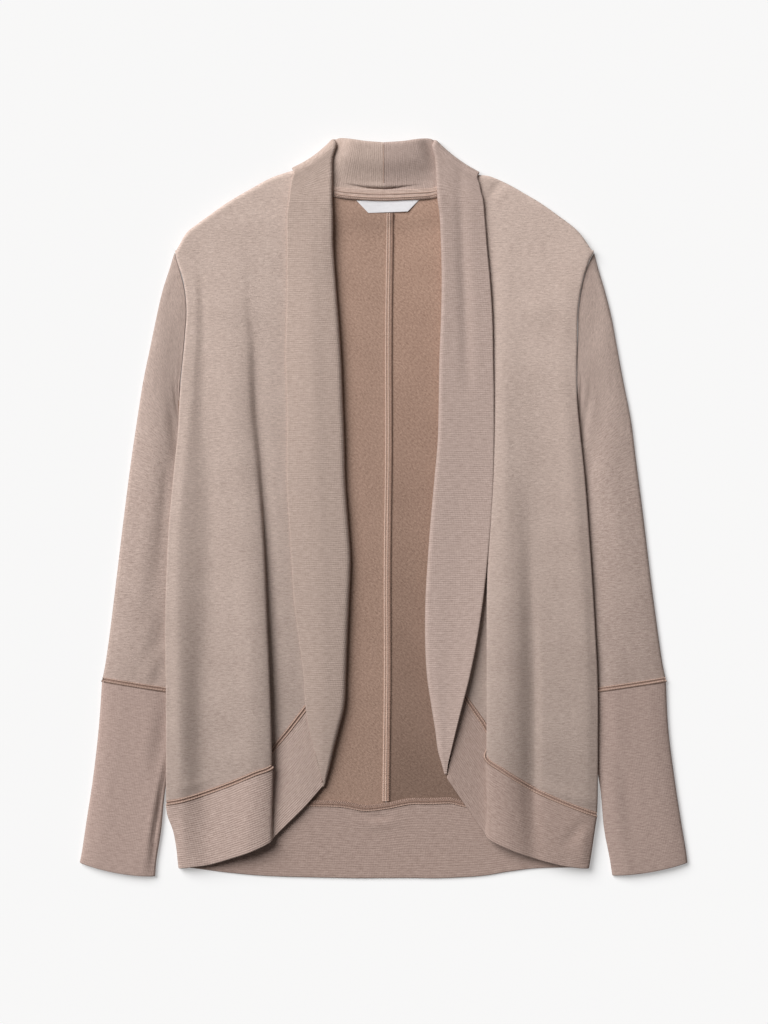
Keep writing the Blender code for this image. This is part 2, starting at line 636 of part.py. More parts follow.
def collar_points(side):
    neck = COLLAR_NECK[side]
    line = np.array([neck["roll"][3] - neck["free"][3], neck["roll_y"][3] - neck["free_y"][3]])
    outward = np.array([-line[1], line[0]]) / np.hypot(*line)
    if outward[0] < 0:
        outward = -outward
    out = []
    for turn, free, seam, roll, h in collar_sections(side):
        free, seam, roll = np.array(free), np.array(seam), np.array(roll)
        radius = (h["over"] - h["under"]) / 2
        to_seam = (seam - roll) / np.hypot(*(seam - roll))
        to_free = (free - roll) / np.hypot(*(free - roll))
        flat = []
        start = roll + to_seam * radius
        for t in (1.0, 0.97, 0.66, 0.33, 0.0):
            flat.append((*(start + (seam - start) * t),
                         h["under"] + (h["stand"] - h["under"]) * t))
        middle = (h["over"] + h["under"]) / 2
        for k in (1, 2, 3):
            angle = -pi / 2 - k * pi / 4
            flat.append((*(roll + to_seam * radius * (1 + cos(angle))),
                         middle + radius * sin(angle)))
        start = roll + to_free * radius
        for t in (0.0, 0.22, 0.46, 0.72, 0.96, 1.0):
            z = smooth((0, 0.46, 1), (h["over"], h["fall"], h["edge"]), t)
            flat.append((*(start + (free - start) * t), float(z)))
        section = []
        for d, y, z in flat:
            rise = z - COLLAR_AXIS
            a = radians(turn)
            swing = outward * rise * sin(a)
            section.append((d + swing[0], y + swing[1], COLLAR_AXIS + rise * cos(a)))
        out.append(section)
    return out


def tape_points():
    out = []
    for offset, z in ((5.8, 6.1), (3.6, 6.0), (-0.4, 5.9), (-3.8, 5.8)):
        line = []
        for x in (-47, -36, -24, -12, 0, 12, 24, 36, 48):
            line.append((x, along(NECK_SEAM, x) + offset, z))
        out.append(line)
    return out


LABEL_CORNERS = ((-27, 307.0), (35.5, 307.6), (-15.1, 294.7), (24.2, 296.0))


def label_points():
    a, b, c, d = (np.array(p) for p in LABEL_CORNERS)
    out = []
    for w in (0.0, 0.35, 0.7, 1.0):
        line = []
        for t in (0.0, 0.25, 0.5, 0.75, 1.0):
            p = (a + (b - a) * t) * (1 - w) + (c + (d - c) * t) * w
            line.append((p[0], p[1], 4.85))
        out.append(line)
    return out


def cloth(name, points, thickness, colour, side="right", closed=False):
    """One piece of cloth: a loft through its sections, given its thickness."""
    sign = -1 if side == "left" else 1
    shape = bmesh.new()
    rows = [[shape.verts.new((sign * x * MM, y * MM, z * MM)) for x, y, z in line]
            for line in points]
    for r in range(len(rows) - 1):
        count = len(rows[r])
        for c in range(count if closed else count - 1):
            n = (c + 1) % count
            shape.faces.new((rows[r][c], rows[r][n], rows[r + 1][n], rows[r + 1][c]))
    mesh = bpy.data.meshes.new(name)
    shape.to_mesh(mesh)
    shape.free()
    piece = bpy.data.objects.new(name, mesh)
    garment.objects.link(piece)
    for face in mesh.polygons:
        face.use_smooth = True
    wall = piece.modifiers.new("wall", "SOLIDIFY")
    wall.thickness = thickness * MM
    wall.offset = 0.0
    wall.use_quality_normals = True
    wall.thickness_clamp = 0.0
    material = bpy.data.materials.new(name)
    material.use_nodes = True
    surface = material.node_tree.nodes["Principled BSDF"]
    surface.inputs["Base Color"].default_value = colour
    surface.inputs["Roughness"].default_value = 0.9
    mesh.materials.append(material)
    return piece


for old in list(bpy.data.objects):
    bpy.data.objects.remove(old)
garment = bpy.data.collections.new("open_front_cardigan")
bpy.context.scene.collection.children.link(garment)

for side in ("left", "right"):
    cloth(f"back_{side}", back_points(side), CLOTH, BODY_COLOUR, side)
    cloth(f"front_{side}", front_points(side), CLOTH, BODY_COLOUR, side)
    cloth(f"hem_front_{side}", hem_front_points(side), RIB, RIB_COLOUR, side)
    cloth(f"sleeve_{side}", tube_points(side, SLEEVE[side], CLOTH, 0.6, False), CLOTH,
          BODY_COLOUR, side, True)
    cloth(f"cuff_{side}", tube_points(side, CUFF[side], CUFF_RIB, 0.6, True), CUFF_RIB,
          RIB_COLOUR, side, True)
    cloth(f"collar_{side}", collar_points(side), RIB, RIB_COLOUR, side)
cloth("hem_back", hem_back_points(), RIB, RIB_COLOUR)
cloth("neck_tape", tape_points(), 0.8, TAPE_COLOUR)
cloth("label", label_points(), 0.5, LABEL_COLOUR)
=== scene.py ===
from math import cos, pi, radians, sin

import bpy
import numpy as np
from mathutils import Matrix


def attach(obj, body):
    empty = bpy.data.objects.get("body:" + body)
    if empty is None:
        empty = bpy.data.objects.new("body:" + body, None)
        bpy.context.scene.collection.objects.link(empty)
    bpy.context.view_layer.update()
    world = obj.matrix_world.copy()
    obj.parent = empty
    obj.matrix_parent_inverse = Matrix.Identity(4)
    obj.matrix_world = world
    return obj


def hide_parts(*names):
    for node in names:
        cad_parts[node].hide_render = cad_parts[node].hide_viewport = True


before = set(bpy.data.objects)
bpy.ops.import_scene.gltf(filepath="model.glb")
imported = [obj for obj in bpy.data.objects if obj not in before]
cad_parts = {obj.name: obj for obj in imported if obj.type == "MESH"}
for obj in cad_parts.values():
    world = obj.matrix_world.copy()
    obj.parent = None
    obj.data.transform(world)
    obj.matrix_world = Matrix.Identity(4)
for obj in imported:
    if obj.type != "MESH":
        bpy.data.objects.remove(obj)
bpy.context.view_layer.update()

# Back: two panels of midweight brushed knit, joined down the middle by an overlocked seam.
# The garment lies on them, so the brushed inside faces up in the opening, and their side
# edges ride over the sleeves that are folded in under the body.
MM = 0.001
SIGN = {"left": -1, "right": 1}
CLOTH = 1.4
# Heights of the back's middle surface: on the floor, over a sleeve and at the collar, and
# the height at which front and back meet along the shoulder.
FLOOR_LAYER = CLOTH / 2
OVER_SLEEVE = 5.1
OVER_COLLAR = 3.6
SHOULDER_SPLIT = 3.85
SHOULDER_END = 207.5
# Distance between the edges of two pieces where one is sewn to a rib band, and elsewhere.
BUTT = 0.8
SEAM = 0.3
# The middle seam's x at the neck and at the hem, and its y there.
BACK_SEAM = (5.0, 2.5)
BACK_SEAM_ENDS = (310, -300)
# How a side bends down to its seam: share of the bend's width, and of its drop.
BEND = ((1.0, 0.0), (0.55, 0.13), (0.15, 0.5), (0.0, 1.0))
BEND_WIDTH = 2.2
# The ramp by which the back rises onto the sleeve, from its foot to its crest: how far these
# lie in from the sleeve's inner edge, and from the side at least.
RAMP_FOOT = (17, 22)
RAMP_CREST = (2, 8)
# How far the back's top edge lies below the shoulder line: where its bend ends and starts.
TOP_INSET = (1.3, 3.9)
# Share of the width from one column under the neck to the next, and the rows' shares.
NECK_COLUMN = 0.13
BACK_ROWS = (0, 0.012, 0.03, 0.055, 0.10, 0.16, 0.21, 0.245, 0.275, 0.305, 0.34, 0.375,
             0.41, 0.46, 0.55, 0.64, 0.73, 0.80, 0.88, 0.955, 1.0)


def columns(text):
    """A table as its named columns."""
    names, *rows = [line.split() for line in text.strip().split("\n")]
    return dict(zip(names, np.array(rows, float).T))


def hermite(t, h, a, slope_a, b, slope_b):
    """The cubic from a to b, a width h apart, at a share t of the way."""
    return ((1 + 2 * t) * (1 - t) ** 2 * a + t * (1 - t) ** 2 * h * slope_a
            + t * t * (3 - 2 * t) * b + t * t * (t - 1) * h * slope_b)


def smooth(xs, ys, x):
    """Monotone cubic through the points of a table, in either order of xs."""
    xs, ys = np.asarray(xs, float), np.asarray(ys, float)
    if xs[0] > xs[-1]:
        xs, ys = xs[::-1], ys[::-1]
    x = np.clip(x, xs[0], xs[-1])
    h = np.diff(xs)
    s = np.diff(ys) / h
    m = np.zeros(len(xs))
    m[0], m[-1] = s[0], s[-1]
    for i in range(1, len(xs) - 1):
        if s[i - 1] * s[i] > 0:
            w1, w2 = 2 * h[i] + h[i - 1], h[i] + 2 * h[i - 1]
            m[i] = (w1 + w2) / (w1 / s[i - 1] + w2 / s[i])
    i = np.clip(np.searchsorted(xs, x) - 1, 0, len(xs) - 2)
    return hermite((x - xs[i]) / h[i], h[i], ys[i], m[i], ys[i + 1], m[i + 1])


def at(table, name, y):
    return float(smooth(table["y"], table[name], y))


def along(points, x):
    return float(smooth(*zip(*sorted(points)), x))


def ease(a, b, x):
    t = min(max((x - a) / (b - a), 0.0), 1.0)
    return t * t * (3 - 2 * t)


# Side fold of the body: below the underarm, and the armhole seam above it.
SIDE = {
    "left": columns("""
       y  edge
     255 208.3
     247 206.5
     240 204.2
     224 199.5
     208 197.5
     193 196.7
     178 197.9
     148 200.5
     118 203.5
      88 204.7
      28 210.5
     -32 215.5
    -122 218.3
    -192 217.5
    -294 217.3
    -307 215.5
    -327 208.5
    -360 204.5"""),
    "right": columns("""
       y  edge
     255 210.1
     247 205.7
     240 202.9
     224 198.5
     208 195.4
     193 194.2
     178 194.1
     148 193.1
     118 193.3
      88 195.5
      28 201.5
     -32 206.0
    -122 211.7
    -192 214.5
    -294 214.0
    -305 213.5
    -317 211.5
    -338 208.5
    -360 205.0"""),
}
# Height at which front and back meet along that fold.
SPLIT = columns("""
       y   z
     255 3.9
     236 5.2
     222 6.5
    -262 6.5
    -294 5.0
    -360 3.9""")
SHOULDER = {
    "left": ((207.5, 257), (201.5, 267.4), (195.5, 275.4), (185.5, 283.4), (174.5, 291.4),
             (163.5, 299.4), (151.5, 307.4), (137.5, 315.4), (123.5, 323.4), (107.5, 331.4),
             (98.5, 335.2), (92.5, 337), (87.5, 337.8), (82.5, 338.3)),
    "right": ((208.5, 257), (200.5, 267.4), (194.5, 275.4), (185.5, 283.4), (174.5, 291.4),
              (163.5, 299.4), (151.5, 307.4), (137.5, 315.4), (123.5, 323.4), (106.5, 330.6),
              (99.5, 332.2), (93.5, 332.3), (87.6, 332.8)),
}
# Neck seam of the back, and its hem seam, as x and y.
NECK_SEAM = ((-79.5, 334.6), (-72.5, 328.6), (-59.5, 320.1), (-42.5, 314.2), (-21.5, 311.3),
             (0, 310.5), (22.5, 311.3), (45.5, 313.7), (62.5, 318.6), (77, 326.0), (85, 330.6))
BACK_HEM_SEAM = ((-217.3, -294), (-183.5, -295), (-133.5, -295), (-72.9, -295),
                 (-42.5, -296.6), (-17.8, -299.7), (3.5, -298), (34.3, -292.8),
                 (64.5, -292.8), (81.5, -296), (136.5, -300), (186.5, -303.5),
                 (213.5, -305.5))
# Inner edge of the sleeve that lies under the body, and how far the back is lifted there.
UNDER_SLEEVE = columns("""
       y  left right lift
     150 203.5 193.5 0.00
     135 203.5 193.5 0.05
     118 203.5 193.5 0.45
     100 203.5 193.5 1.00
      84 203.0 193.0 1.00
      75 199.5 190.5 1.00
      63 193.0 186.5 1.00
      47 182.5 178.5 1.00
      28 169.5 168.5 1.00
       8 158.5 158.5 1.00
     -22 151.5 151.5 1.00
     -77 156.5 156.5 1.00
    -132 176.5 176.5 1.00
    -167 192.0 191.0 1.00
    -184 200.5 199.5 1.00
    -227 206.5 205.5 1.00
    -257 213.5 211.0 1.00
    -273 216.5 214.0 1.00
    -296 216.5 214.0 0.25
    -320 216.5 214.0 0.00""")
# Creases, here and below: height, width, and the points that the crease runs through.
BACK_CREASES = [
    (0.5, 16, (-22, 250), (-28, 60), (-18, -120)),
    (-0.5, 14, (30, 120), (24, -80), (34, -240)),
]


def side_edge(side, y):
    return at(SIDE[side], "edge", y) - CLOTH / 2


def split(y):
    return at(SPLIT, "z", y)


def lift(y):
    return at(UNDER_SLEEVE, "lift", y)


def back_points(side):
    """One half of the back in rows from its top edge down, with x counted out from the middle."""
    sign = SIGN[side]
    neck = [(sign * x, y) for x, y in NECK_SEAM if sign * x >= -1]
    top = neck + list(SHOULDER[side])
    hem = [(sign * x, y) for x, y in BACK_HEM_SEAM if sign * x > -25]
    ends, starts = TOP_INSET
    rows = [(ends + share * (starts - ends), drop, 0.0) for share, drop in BEND[:0:-1]]
    rows += [(starts, 0.0, v) for v in BACK_ROWS]
    corner = max(d for d, y in neck)
    knots = sorted(d for d, y in neck if d > 5)
    shares = [("mid", 0.0)] + [("neck", k) for k in range(len(knots))] + [("mid", 0.8)]
    shares += [("ramp", s) for s in (0.0, 0.35, 0.7, 1.0)] + [("side", 0.5)]
    shares += [("bend", s) for s in BEND]
    out = []
    for inset, rise, v in rows:
        line = []
        for kind, share in shares:
            y = 0.0
            for _ in range(6):
                seam = sign * np.interp(y, BACK_SEAM_ENDS[::-1], BACK_SEAM[::-1]) + SEAM / 2
                edge = side_edge(side, y)
                under = at(UNDER_SLEEVE, side, y)
                foot, crest = (min(under - a, edge - b) for a, b in (RAMP_FOOT, RAMP_CREST))
                if kind == "mid":
                    d = seam + (foot - seam) * share
                elif kind == "neck":
                    d = seam + (foot - seam) * NECK_COLUMN * (share + 1)
                    d = d + (knots[share] - d) * ease(60, 280, y)
                elif kind == "ramp":
                    d = foot + (crest - foot) * share
                elif kind == "side":
                    d = crest + (edge - BEND_WIDTH - 1.0 - crest) * share
                else:
                    d = edge - BEND_WIDTH * share[0]
                y0 = along(top, min(d, SHOULDER_END)) - inset
                y = y0 + (along(hem, d) - y0) * v
            up = lift(y)
            z = FLOOR_LAYER
            if kind == "ramp":
                z += up * (OVER_SLEEVE - z) * ease(0, 1, share)
            if kind in ("side", "bend"):
                z += up * (OVER_SLEEVE - z)
            near_neck = (1 - ease(16, 34, y0 + inset - y)) * (1 - ease(corner + 9, corner + 24, d))
            z = max(z, FLOOR_LAYER + near_neck * (OVER_COLLAR - FLOOR_LAYER))
            if kind == "bend":
                z += share[1] * (split(y) - 1.0 - z) * ease(0.6, 1.0, up)
                if up < 0.6:
                    d -= SEAM / 2
            on_shoulder = ease(corner - 2, corner + 5, d)
            z += rise * on_shoulder * max(0, SHOULDER_SPLIT - BUTT - z)
            line.append((d, y, z))
        out.append(line)
    return out


def finer(lines, step, closed=False):
    """Smooth curves through the lines of a grid, with a line about every step."""
    if closed:
        lines = np.concatenate([lines[-1:], lines, lines[:2]])
    h = np.maximum(np.linalg.norm(np.diff(lines, axis=0), axis=2, keepdims=True), 0.001)
    s = np.diff(lines, axis=0) / h
    slope = np.empty_like(lines)
    slope[1:-1] = (s[:-1] * h[:-1] + s[1:] * h[1:]) / (h[1:] + h[:-1])
    slope[0], slope[-1] = s[0], s[-1]
    out = []
    for k in range(int(closed), len(lines) - 1 - int(closed)):
        steps = max(1, int(round(float(h[k].mean()) / step)))
        out += [hermite(t, h[k], lines[k], slope[k], lines[k + 1], slope[k + 1])
                for t in np.arange(steps) / steps]
    if not closed:
        out.append(lines[-1])
    return np.array(out)


def loft(points, side, step, closed=False):
    """A panel's sections as a close grid, on its own side of the picture."""
    grid = finer(np.array(points, float), step)
    grid = finer(grid.swapaxes(0, 1), step, closed).swapaxes(0, 1)
    return grid * (SIGN[side], 1, 1)


def creased(grid, creases, where=1.0):
    """Raises and lowers the cloth along given lines that fade out at both ends."""
    raised = grid.copy()
    x, y = grid[..., 0], grid[..., 1]
    for height, width, *line in creases:
        best = np.full(x.shape, 1e9)
        passed = np.zeros(x.shape)
        spans = [np.hypot(c - a, d - b) for (a, b), (c, d) in zip(line, line[1:])]
        before = 0.0
        for (a, b), (c, d), span in zip(line, line[1:], spans):
            t = np.clip(((x - a) * (c - a) + (y - b) * (d - b)) / span ** 2, 0, 1)
            away = np.hypot(x - a - (c - a) * t, y - b - (d - b) * t)
            near = away < best
            best = np.where(near, away, best)
            passed = np.where(near, (before + span * t) / sum(spans), passed)
            before += span
        fade = np.sin(pi * np.clip(passed, 0, 1)) ** 0.8
        raised[..., 2] += height * fade * np.exp(-(best / width) ** 2) * where
    return raised


def with_rims(grid, radius, closed):
    """Extra lines close to the edges, and how full the wall is at each line."""
    shares = (0.12, 0.45, 1.0)
    round_off = [0.0] + [(1 - (1 - s) ** 2) ** 0.5 for s in shares]
    fullness = []
    for has_edges in (True, not closed):
        full = np.ones(len(grid))
        if has_edges:
            rims = []
            for edge, inward in ((grid[0], grid[1] - grid[0]), (grid[-1], grid[-2] - grid[-1])):
                gap = np.linalg.norm(inward, axis=1, keepdims=True)
                rims.append([edge + inward * np.minimum(s * radius / gap, 0.3 + 0.6 * s)
                             for s in shares])
            grid = np.concatenate([grid[:1], rims[0], grid[1:-1], rims[1][::-1], grid[-1:]])
            full = np.concatenate([round_off, np.ones(len(grid) - 8), round_off[::-1]])
        fullness.append(full)
        grid = grid.swapaxes(0, 1)
    return grid, fullness[0][:, None] * fullness[1][None, :]


def heading(points, axis, closed=False):
    """The way from the point before to the point after, along one axis of a grid."""
    way = np.gradient(points, axis=axis)
    if closed:
        way = np.roll(points, -1, axis) - np.roll(points, 1, axis)
    return way / np.maximum(np.linalg.norm(way, axis=-1, keepdims=True), 1e-6)


def cells(grid):
    """The four corners of each cell of a grid."""
    return np.stack([grid[:-1, :-1], grid[:-1, 1:], grid[1:, 1:], grid[1:, :-1]], axis=2)


def meshed(name, points, faces, place, materials):
    """A piece with its map called cloth; two materials share its faces half and half."""
    shape = bpy.data.meshes.new(name)
    shape.from_pydata((points * MM).tolist(), [], faces)
    layer = shape.uv_layers.new(name="cloth")
    layer.uv.foreach_set("vector", (place * MM).astype(np.float32).ravel())
    for material in materials:
        shape.materials.append(material)
    sides = np.repeat(np.arange(len(materials)), len(faces) // len(materials))
    shape.polygons.foreach_set("material_index", sides.astype(np.int32))
    shape.polygons.foreach_set("use_smooth", np.ones(len(faces), bool))
    shape.update()
    piece = bpy.data.objects.new(name, shape)
    bpy.context.scene.collection.objects.link(piece)
    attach(piece, "root")
    return piece


def sewn(name, grid, wall, materials, closed=False, plan=False):
    """One piece of cloth: a wall around its middle surface, with rounded edges. materials are
    the upper or outer side's and the other side's; plan maps the cloth as seen from above."""
    grid, full = with_rims(grid, wall / 2, closed)
    normal = np.cross(heading(grid, 1, closed), np.gradient(grid, axis=0))
    normal /= np.maximum(np.linalg.norm(normal, axis=2, keepdims=True), 1e-9)
    outward = grid - grid.mean(1, keepdims=True) if closed else (0, 0, 1)
    turned = (normal * outward).sum() < 0
    half = wall / 2 * full[..., None] * (-normal if turned else normal)
    first = np.arange(full.size).reshape(full.shape)
    second = first.copy()
    second[full > 0] = full.size + np.arange((full > 0).sum())
    points = np.concatenate([(grid + half).reshape(-1, 3), (grid - half)[full > 0]])
    place = grid[..., :2]
    if not plan:
        steps = np.linalg.norm(np.roll(grid, -1, 1) - grid, axis=2)
        u = np.cumsum(np.insert(steps, 0, 0, axis=1), axis=1)
        down = np.linalg.norm(np.diff(grid, axis=0), axis=2).mean(1)
        v = np.cumsum(np.insert(down, 0, 0))[:, None] + 0 * u
        place = np.stack([u, v], axis=2)[:, :None if closed else -1]
    faces, corners = [], []
    for index, flip in ((first, turned), (second, not turned)):
        if closed:
            index = np.concatenate([index, index[:, :1]], axis=1)
        way = -1 if flip else 1
        faces.append(cells(index).reshape(-1, 4)[:, ::way])
        corners.append(cells(place).reshape(-1, 4, 2)[:, ::way])
    return meshed(name, points, np.concatenate(faces).tolist(), np.concatenate(corners), materials)


def effect(name, **values):
    """An empty group of shader nodes: two colours, a fade of painted shade and these values go in,
    and a colour and a height come out."""
    tree = bpy.data.node_groups.new(name, "ShaderNodeTree")
    sockets = [("Light", "Color", (0.5, 0.4, 0.35, 1)), ("Dark", "Color", (0.3, 0.2, 0.2, 1)),
               ("Fade", "Float", 0.0)] + [(key, "Float", value) for key, value in values.items()]
    for label, kind, value in sockets:
        socket = tree.interface.new_socket(label, in_out="INPUT", socket_type="NodeSocket" + kind)
        socket.default_value = value
    tree.interface.new_socket("Color", in_out="OUTPUT", socket_type="NodeSocketColor")
    tree.interface.new_socket("Height", in_out="OUTPUT", socket_type="NodeSocketFloat")
    return tree, tree.nodes.new("NodeGroupInput").outputs


def put(tree, kind, inputs, **settings):
    """A shader node with these values or links in its inputs; gives its first output."""
    node = tree.nodes.new("ShaderNode" + kind)
    for key, value in settings.items():
        setattr(node, key, value)
    for key, value in inputs.items():
        if isinstance(value, bpy.types.NodeSocket):
            tree.links.new(value, node.inputs[key])
        else:
            node.inputs[key].default_value = value
    return node.outputs[0]


def math(tree, operation, a, b=0.5, c=0.5):
    return put(tree, "Math", {0: a, 1: b, 2: c}, operation=operation)


def spread(tree, value, times, onto=0.5):
    """How far a value is from a half, multiplied and added onto another."""
    return math(tree, "MULTIPLY_ADD", math(tree, "SUBTRACT", value, 0.5), times, onto)


def wave(tree, value, turns):
    return math(tree, "SINE", math(tree, "MULTIPLY", value, turns * pi))


def both(tree, a, share_a, b, share_b):
    return math(tree, "MULTIPLY_ADD", a, share_a, math(tree, "MULTIPLY", b, share_b))


def cloth_place(tree, across, along_it, turn=0.0):
    """The cloth's own map in millimetres, drawn out by these amounts per millimetre."""
    uv = put(tree, "UVMap", {}, uv_map="cloth")
    turned = put(tree, "VectorRotate", {"Vector": uv, "Angle": turn}, rotation_type="Z_AXIS")
    return put(tree, "VectorMath", {0: turned, 1: (across / MM, along_it / MM, 1.0)},
               operation="MULTIPLY")


def split_place(tree, across, along_it):
    return put(tree, "SeparateXYZ", {"Vector": cloth_place(tree, across, along_it)}).node.outputs


def noise(tree, across, along_it, detail=2.0, roughness=0.5, turn=0.0, distortion=0.0):
    return put(tree, "TexNoise", {"Vector": cloth_place(tree, across, along_it, turn),
                                  "Scale": 1.0, "Detail": detail, "Roughness": roughness,
                                  "Distortion": distortion})


def finish_effect(tree, given, shade, height):
    """From the dark to the light colour, then scaled by painted shade: lighter by the fade for
    each metre up the map.
    """
    mixed = put(tree, "Mix", {0: shade, 6: given["Dark"], 7: given["Light"]},
                data_type="RGBA").node.outputs[2]
    uv = put(tree, "UVMap", {}, uv_map="cloth")
    up = put(tree, "SeparateXYZ", {"Vector": uv}).node.outputs["Y"]
    share = math(tree, "MULTIPLY_ADD", up, given["Fade"], 1.0)
    with_painted_shade = put(tree, "VectorMath", {0: mixed, "Scale": share}, operation="SCALE")
    result = tree.nodes.new("NodeGroupOutput").inputs
    tree.links.new(with_painted_shade, result["Color"])
    tree.links.new(height, result["Height"])


# Smooth knit: heathered yarn in short level streaks, over small loops.
knit_effect, given = effect("heathered knit", Contrast=1.0)
tree = knit_effect
streak = noise(tree, 0.16, 0.75, 3.0, 0.7)
fleck = noise(tree, 0.6, 1.3, 2.0, 0.6)
cloud = noise(tree, 0.018, 0.03)
heather = spread(tree, both(tree, streak, 0.62, fleck, 0.38), given["Contrast"])
heather = spread(tree, cloud, 0.35, heather)
wales = split_place(tree, 1 / 1.15, 1 / 0.85)
lean = math(tree, "ABSOLUTE", math(tree, "SUBTRACT", math(tree, "FRACT", wales["X"]), 0.5))
course = math(tree, "FRACT", math(tree, "MULTIPLY_ADD", lean, 1.6, wales["Y"]))
hollow = math(tree, "SUBTRACT", 1.0, math(tree, "POWER", lean, 2.0))
loop = math(tree, "MULTIPLY", wave(tree, course, 1), hollow)
finish_effect(tree, given, heather, both(tree, heather, 0.8, loop, 0.5))

# Brushed inside: a soft nap raised in small tufts that lean one way.
nap_effect, given = effect("brushed nap")
tree = nap_effect
tuft = noise(tree, 0.36, 0.62, 4.0, 0.6, 0.7, 0.2)
hair = noise(tree, 0.9, 1.4, 3.0, 0.7, 0.5)
cloud = noise(tree, 0.02, 0.02)
nap = both(tree, tuft, 0.55, hair, 0.45)
finish_effect(tree, given, spread(tree, cloud, 0.3, spread(tree, nap, 2.8)), nap)


def linear(red, green, blue):
    """A colour given as its 0 to 255 screen values."""
    share = [c / 255 for c in (red, green, blue)]
    return (*[s / 12.92 if s < 0.04045 else ((s + 0.055) / 1.055) ** 2.4 for s in share], 1)


def fill(node, **values):
    for key, value in values.items():
        node.inputs[key.replace("_", " ")].default_value = value


def cloth_finish(name, group, light, dark, relief, sheen=0.1, **values):
    """A dry cloth finish on one of the effects above, with this much relief in millimetres."""
    material = bpy.data.materials.new(name)
    material.use_nodes = True
    tree = material.node_tree
    surface = tree.nodes["Principled BSDF"]
    fill(surface, Roughness=0.92, Specular_IOR_Level=0.22, Sheen_Weight=sheen,
         Sheen_Roughness=0.55, Sheen_Tint=(0.95, 0.86, 0.8, 1))
    weave = tree.nodes.new("ShaderNodeGroup")
    weave.node_tree = group
    fill(weave, Light=linear(*light), Dark=linear(*dark), **values)
    bump = put(tree, "Bump", {"Height": weave.outputs["Height"], "Distance": relief * MM})
    tree.links.new(weave.outputs["Color"], surface.inputs["Base Color"])
    tree.links.new(bump, surface.inputs["Normal"])
    return material


KNIT_RELIEF = 0.35
back_face = cloth_finish("body_knit_outside", knit_effect, (212, 192, 182), (165, 145, 135),
                         KNIT_RELIEF, Contrast=3.0)
# Painted shade: the brushed inside is coloured darker on the right half, and the fade darkens each
# half towards the hem, the right more steeply.
INSIDE_PAINTED_SHADE_TONES = {
    "left": ((187, 156, 139), (132, 105, 90), 0.45),
    "right": ((177, 147, 130), (124, 97, 83), 1.3),
}
NAP_RELIEF = 0.9
NAP_SHEEN = 0.2
inside_painted_shade = {
    side: cloth_finish(f"{side}_brushed_inside", nap_effect, light, dark, NAP_RELIEF, NAP_SHEEN,
                       Fade=fade) for side, (light, dark, fade) in INSIDE_PAINTED_SHADE_TONES.items()}
for side in SIGN:
    grid = creased(loft(back_points(side), side, 3.0), BACK_CREASES)
    back = sewn(f"back_panel_{side}", grid, CLOTH, [inside_painted_shade[side], back_face], plan=True)
    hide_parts(f"back_{side}")

# Sleeves: the same knit, each sewn into a tube that lies flat in two layers. The lower part of
# each is folded in under the body, whose side lies on it; the armhole is a plain seam.
LAYER_GAP = 0.6
SLEEVE_TOP = 3.4
SLEEVE = {
    "left": columns("""
      out  out_y    in   in_y  bow crown under
    208.8  255.5 205.0   98.0 1.00   5.4  0.94
    213.5  240.0 205.0   91.0 0.75   5.5  0.94
    220.5  218.0 203.0   84.0 0.50   5.7  0.86
    226.5  192.0 199.5   75.0 0.25   5.8  0.74
    233.0  161.0 193.0   63.0 0.10   5.9  0.62
    240.0  128.0 182.5   47.0 0.00   6.0  0.56
    246.5   88.0 169.5   28.0 0.00   6.0  0.50
    252.5   48.0 158.5    8.0 0.00   6.0  0.43
    260.3  -12.0 151.5  -22.0 0.00   6.0  0.39
    267.5  -72.0 156.5  -77.0 0.00   6.0  0.42
    274.2 -127.0 176.5 -132.0 0.00   6.0  0.54
    278.2 -155.0 191.5 -166.0 0.00   5.8  0.66
    281.2 -170.6 200.5 -183.8 0.00   5.4  0.74"""),
    "right": columns("""
      out  out_y    in   in_y  bow crown under
    210.6  255.5 194.8   98.0 1.00   5.4  0.94
    214.5  240.0 194.8   91.0 0.75   5.5  0.94
    221.0  218.0 193.0   84.0 0.50   5.7  0.88
    227.5  192.0 190.5   75.0 0.25   5.8  0.80
    233.3  161.0 186.5   63.0 0.10   5.9  0.72
    239.5  128.0 178.5   47.0 0.00   6.0  0.64
    247.5   88.0 168.5   28.0 0.00   6.0  0.58
    252.7   48.0 158.5    8.0 0.00   6.0  0.51
    260.5  -12.0 151.5  -22.0 0.00   6.0  0.46
    267.7  -72.0 156.5  -77.0 0.00   6.0  0.48
    275.0 -127.0 176.5 -132.0 0.00   6.0  0.60
    279.1 -155.0 191.0 -166.0 0.00   5.8  0.70
    282.3 -170.6 200.0 -183.2 0.00   5.4  0.77"""),
}
SLEEVE_CREASES = {
    "left": [(-1.0, 9, (-214, 236), (-212, 190), (-205, 150)),
             (0.8, 10, (-228, 120), (-222, 20), (-232, -60))],
    "right": [(-1.0, 9, (215, 236), (213, 190), (205, 150)),
              (0.8, 10, (230, 120), (226, 20), (236, -60))],
}
ACROSS = (0.035, 0.12, 0.24, 0.38, 0.52, 0.66, 0.82, 0.965)


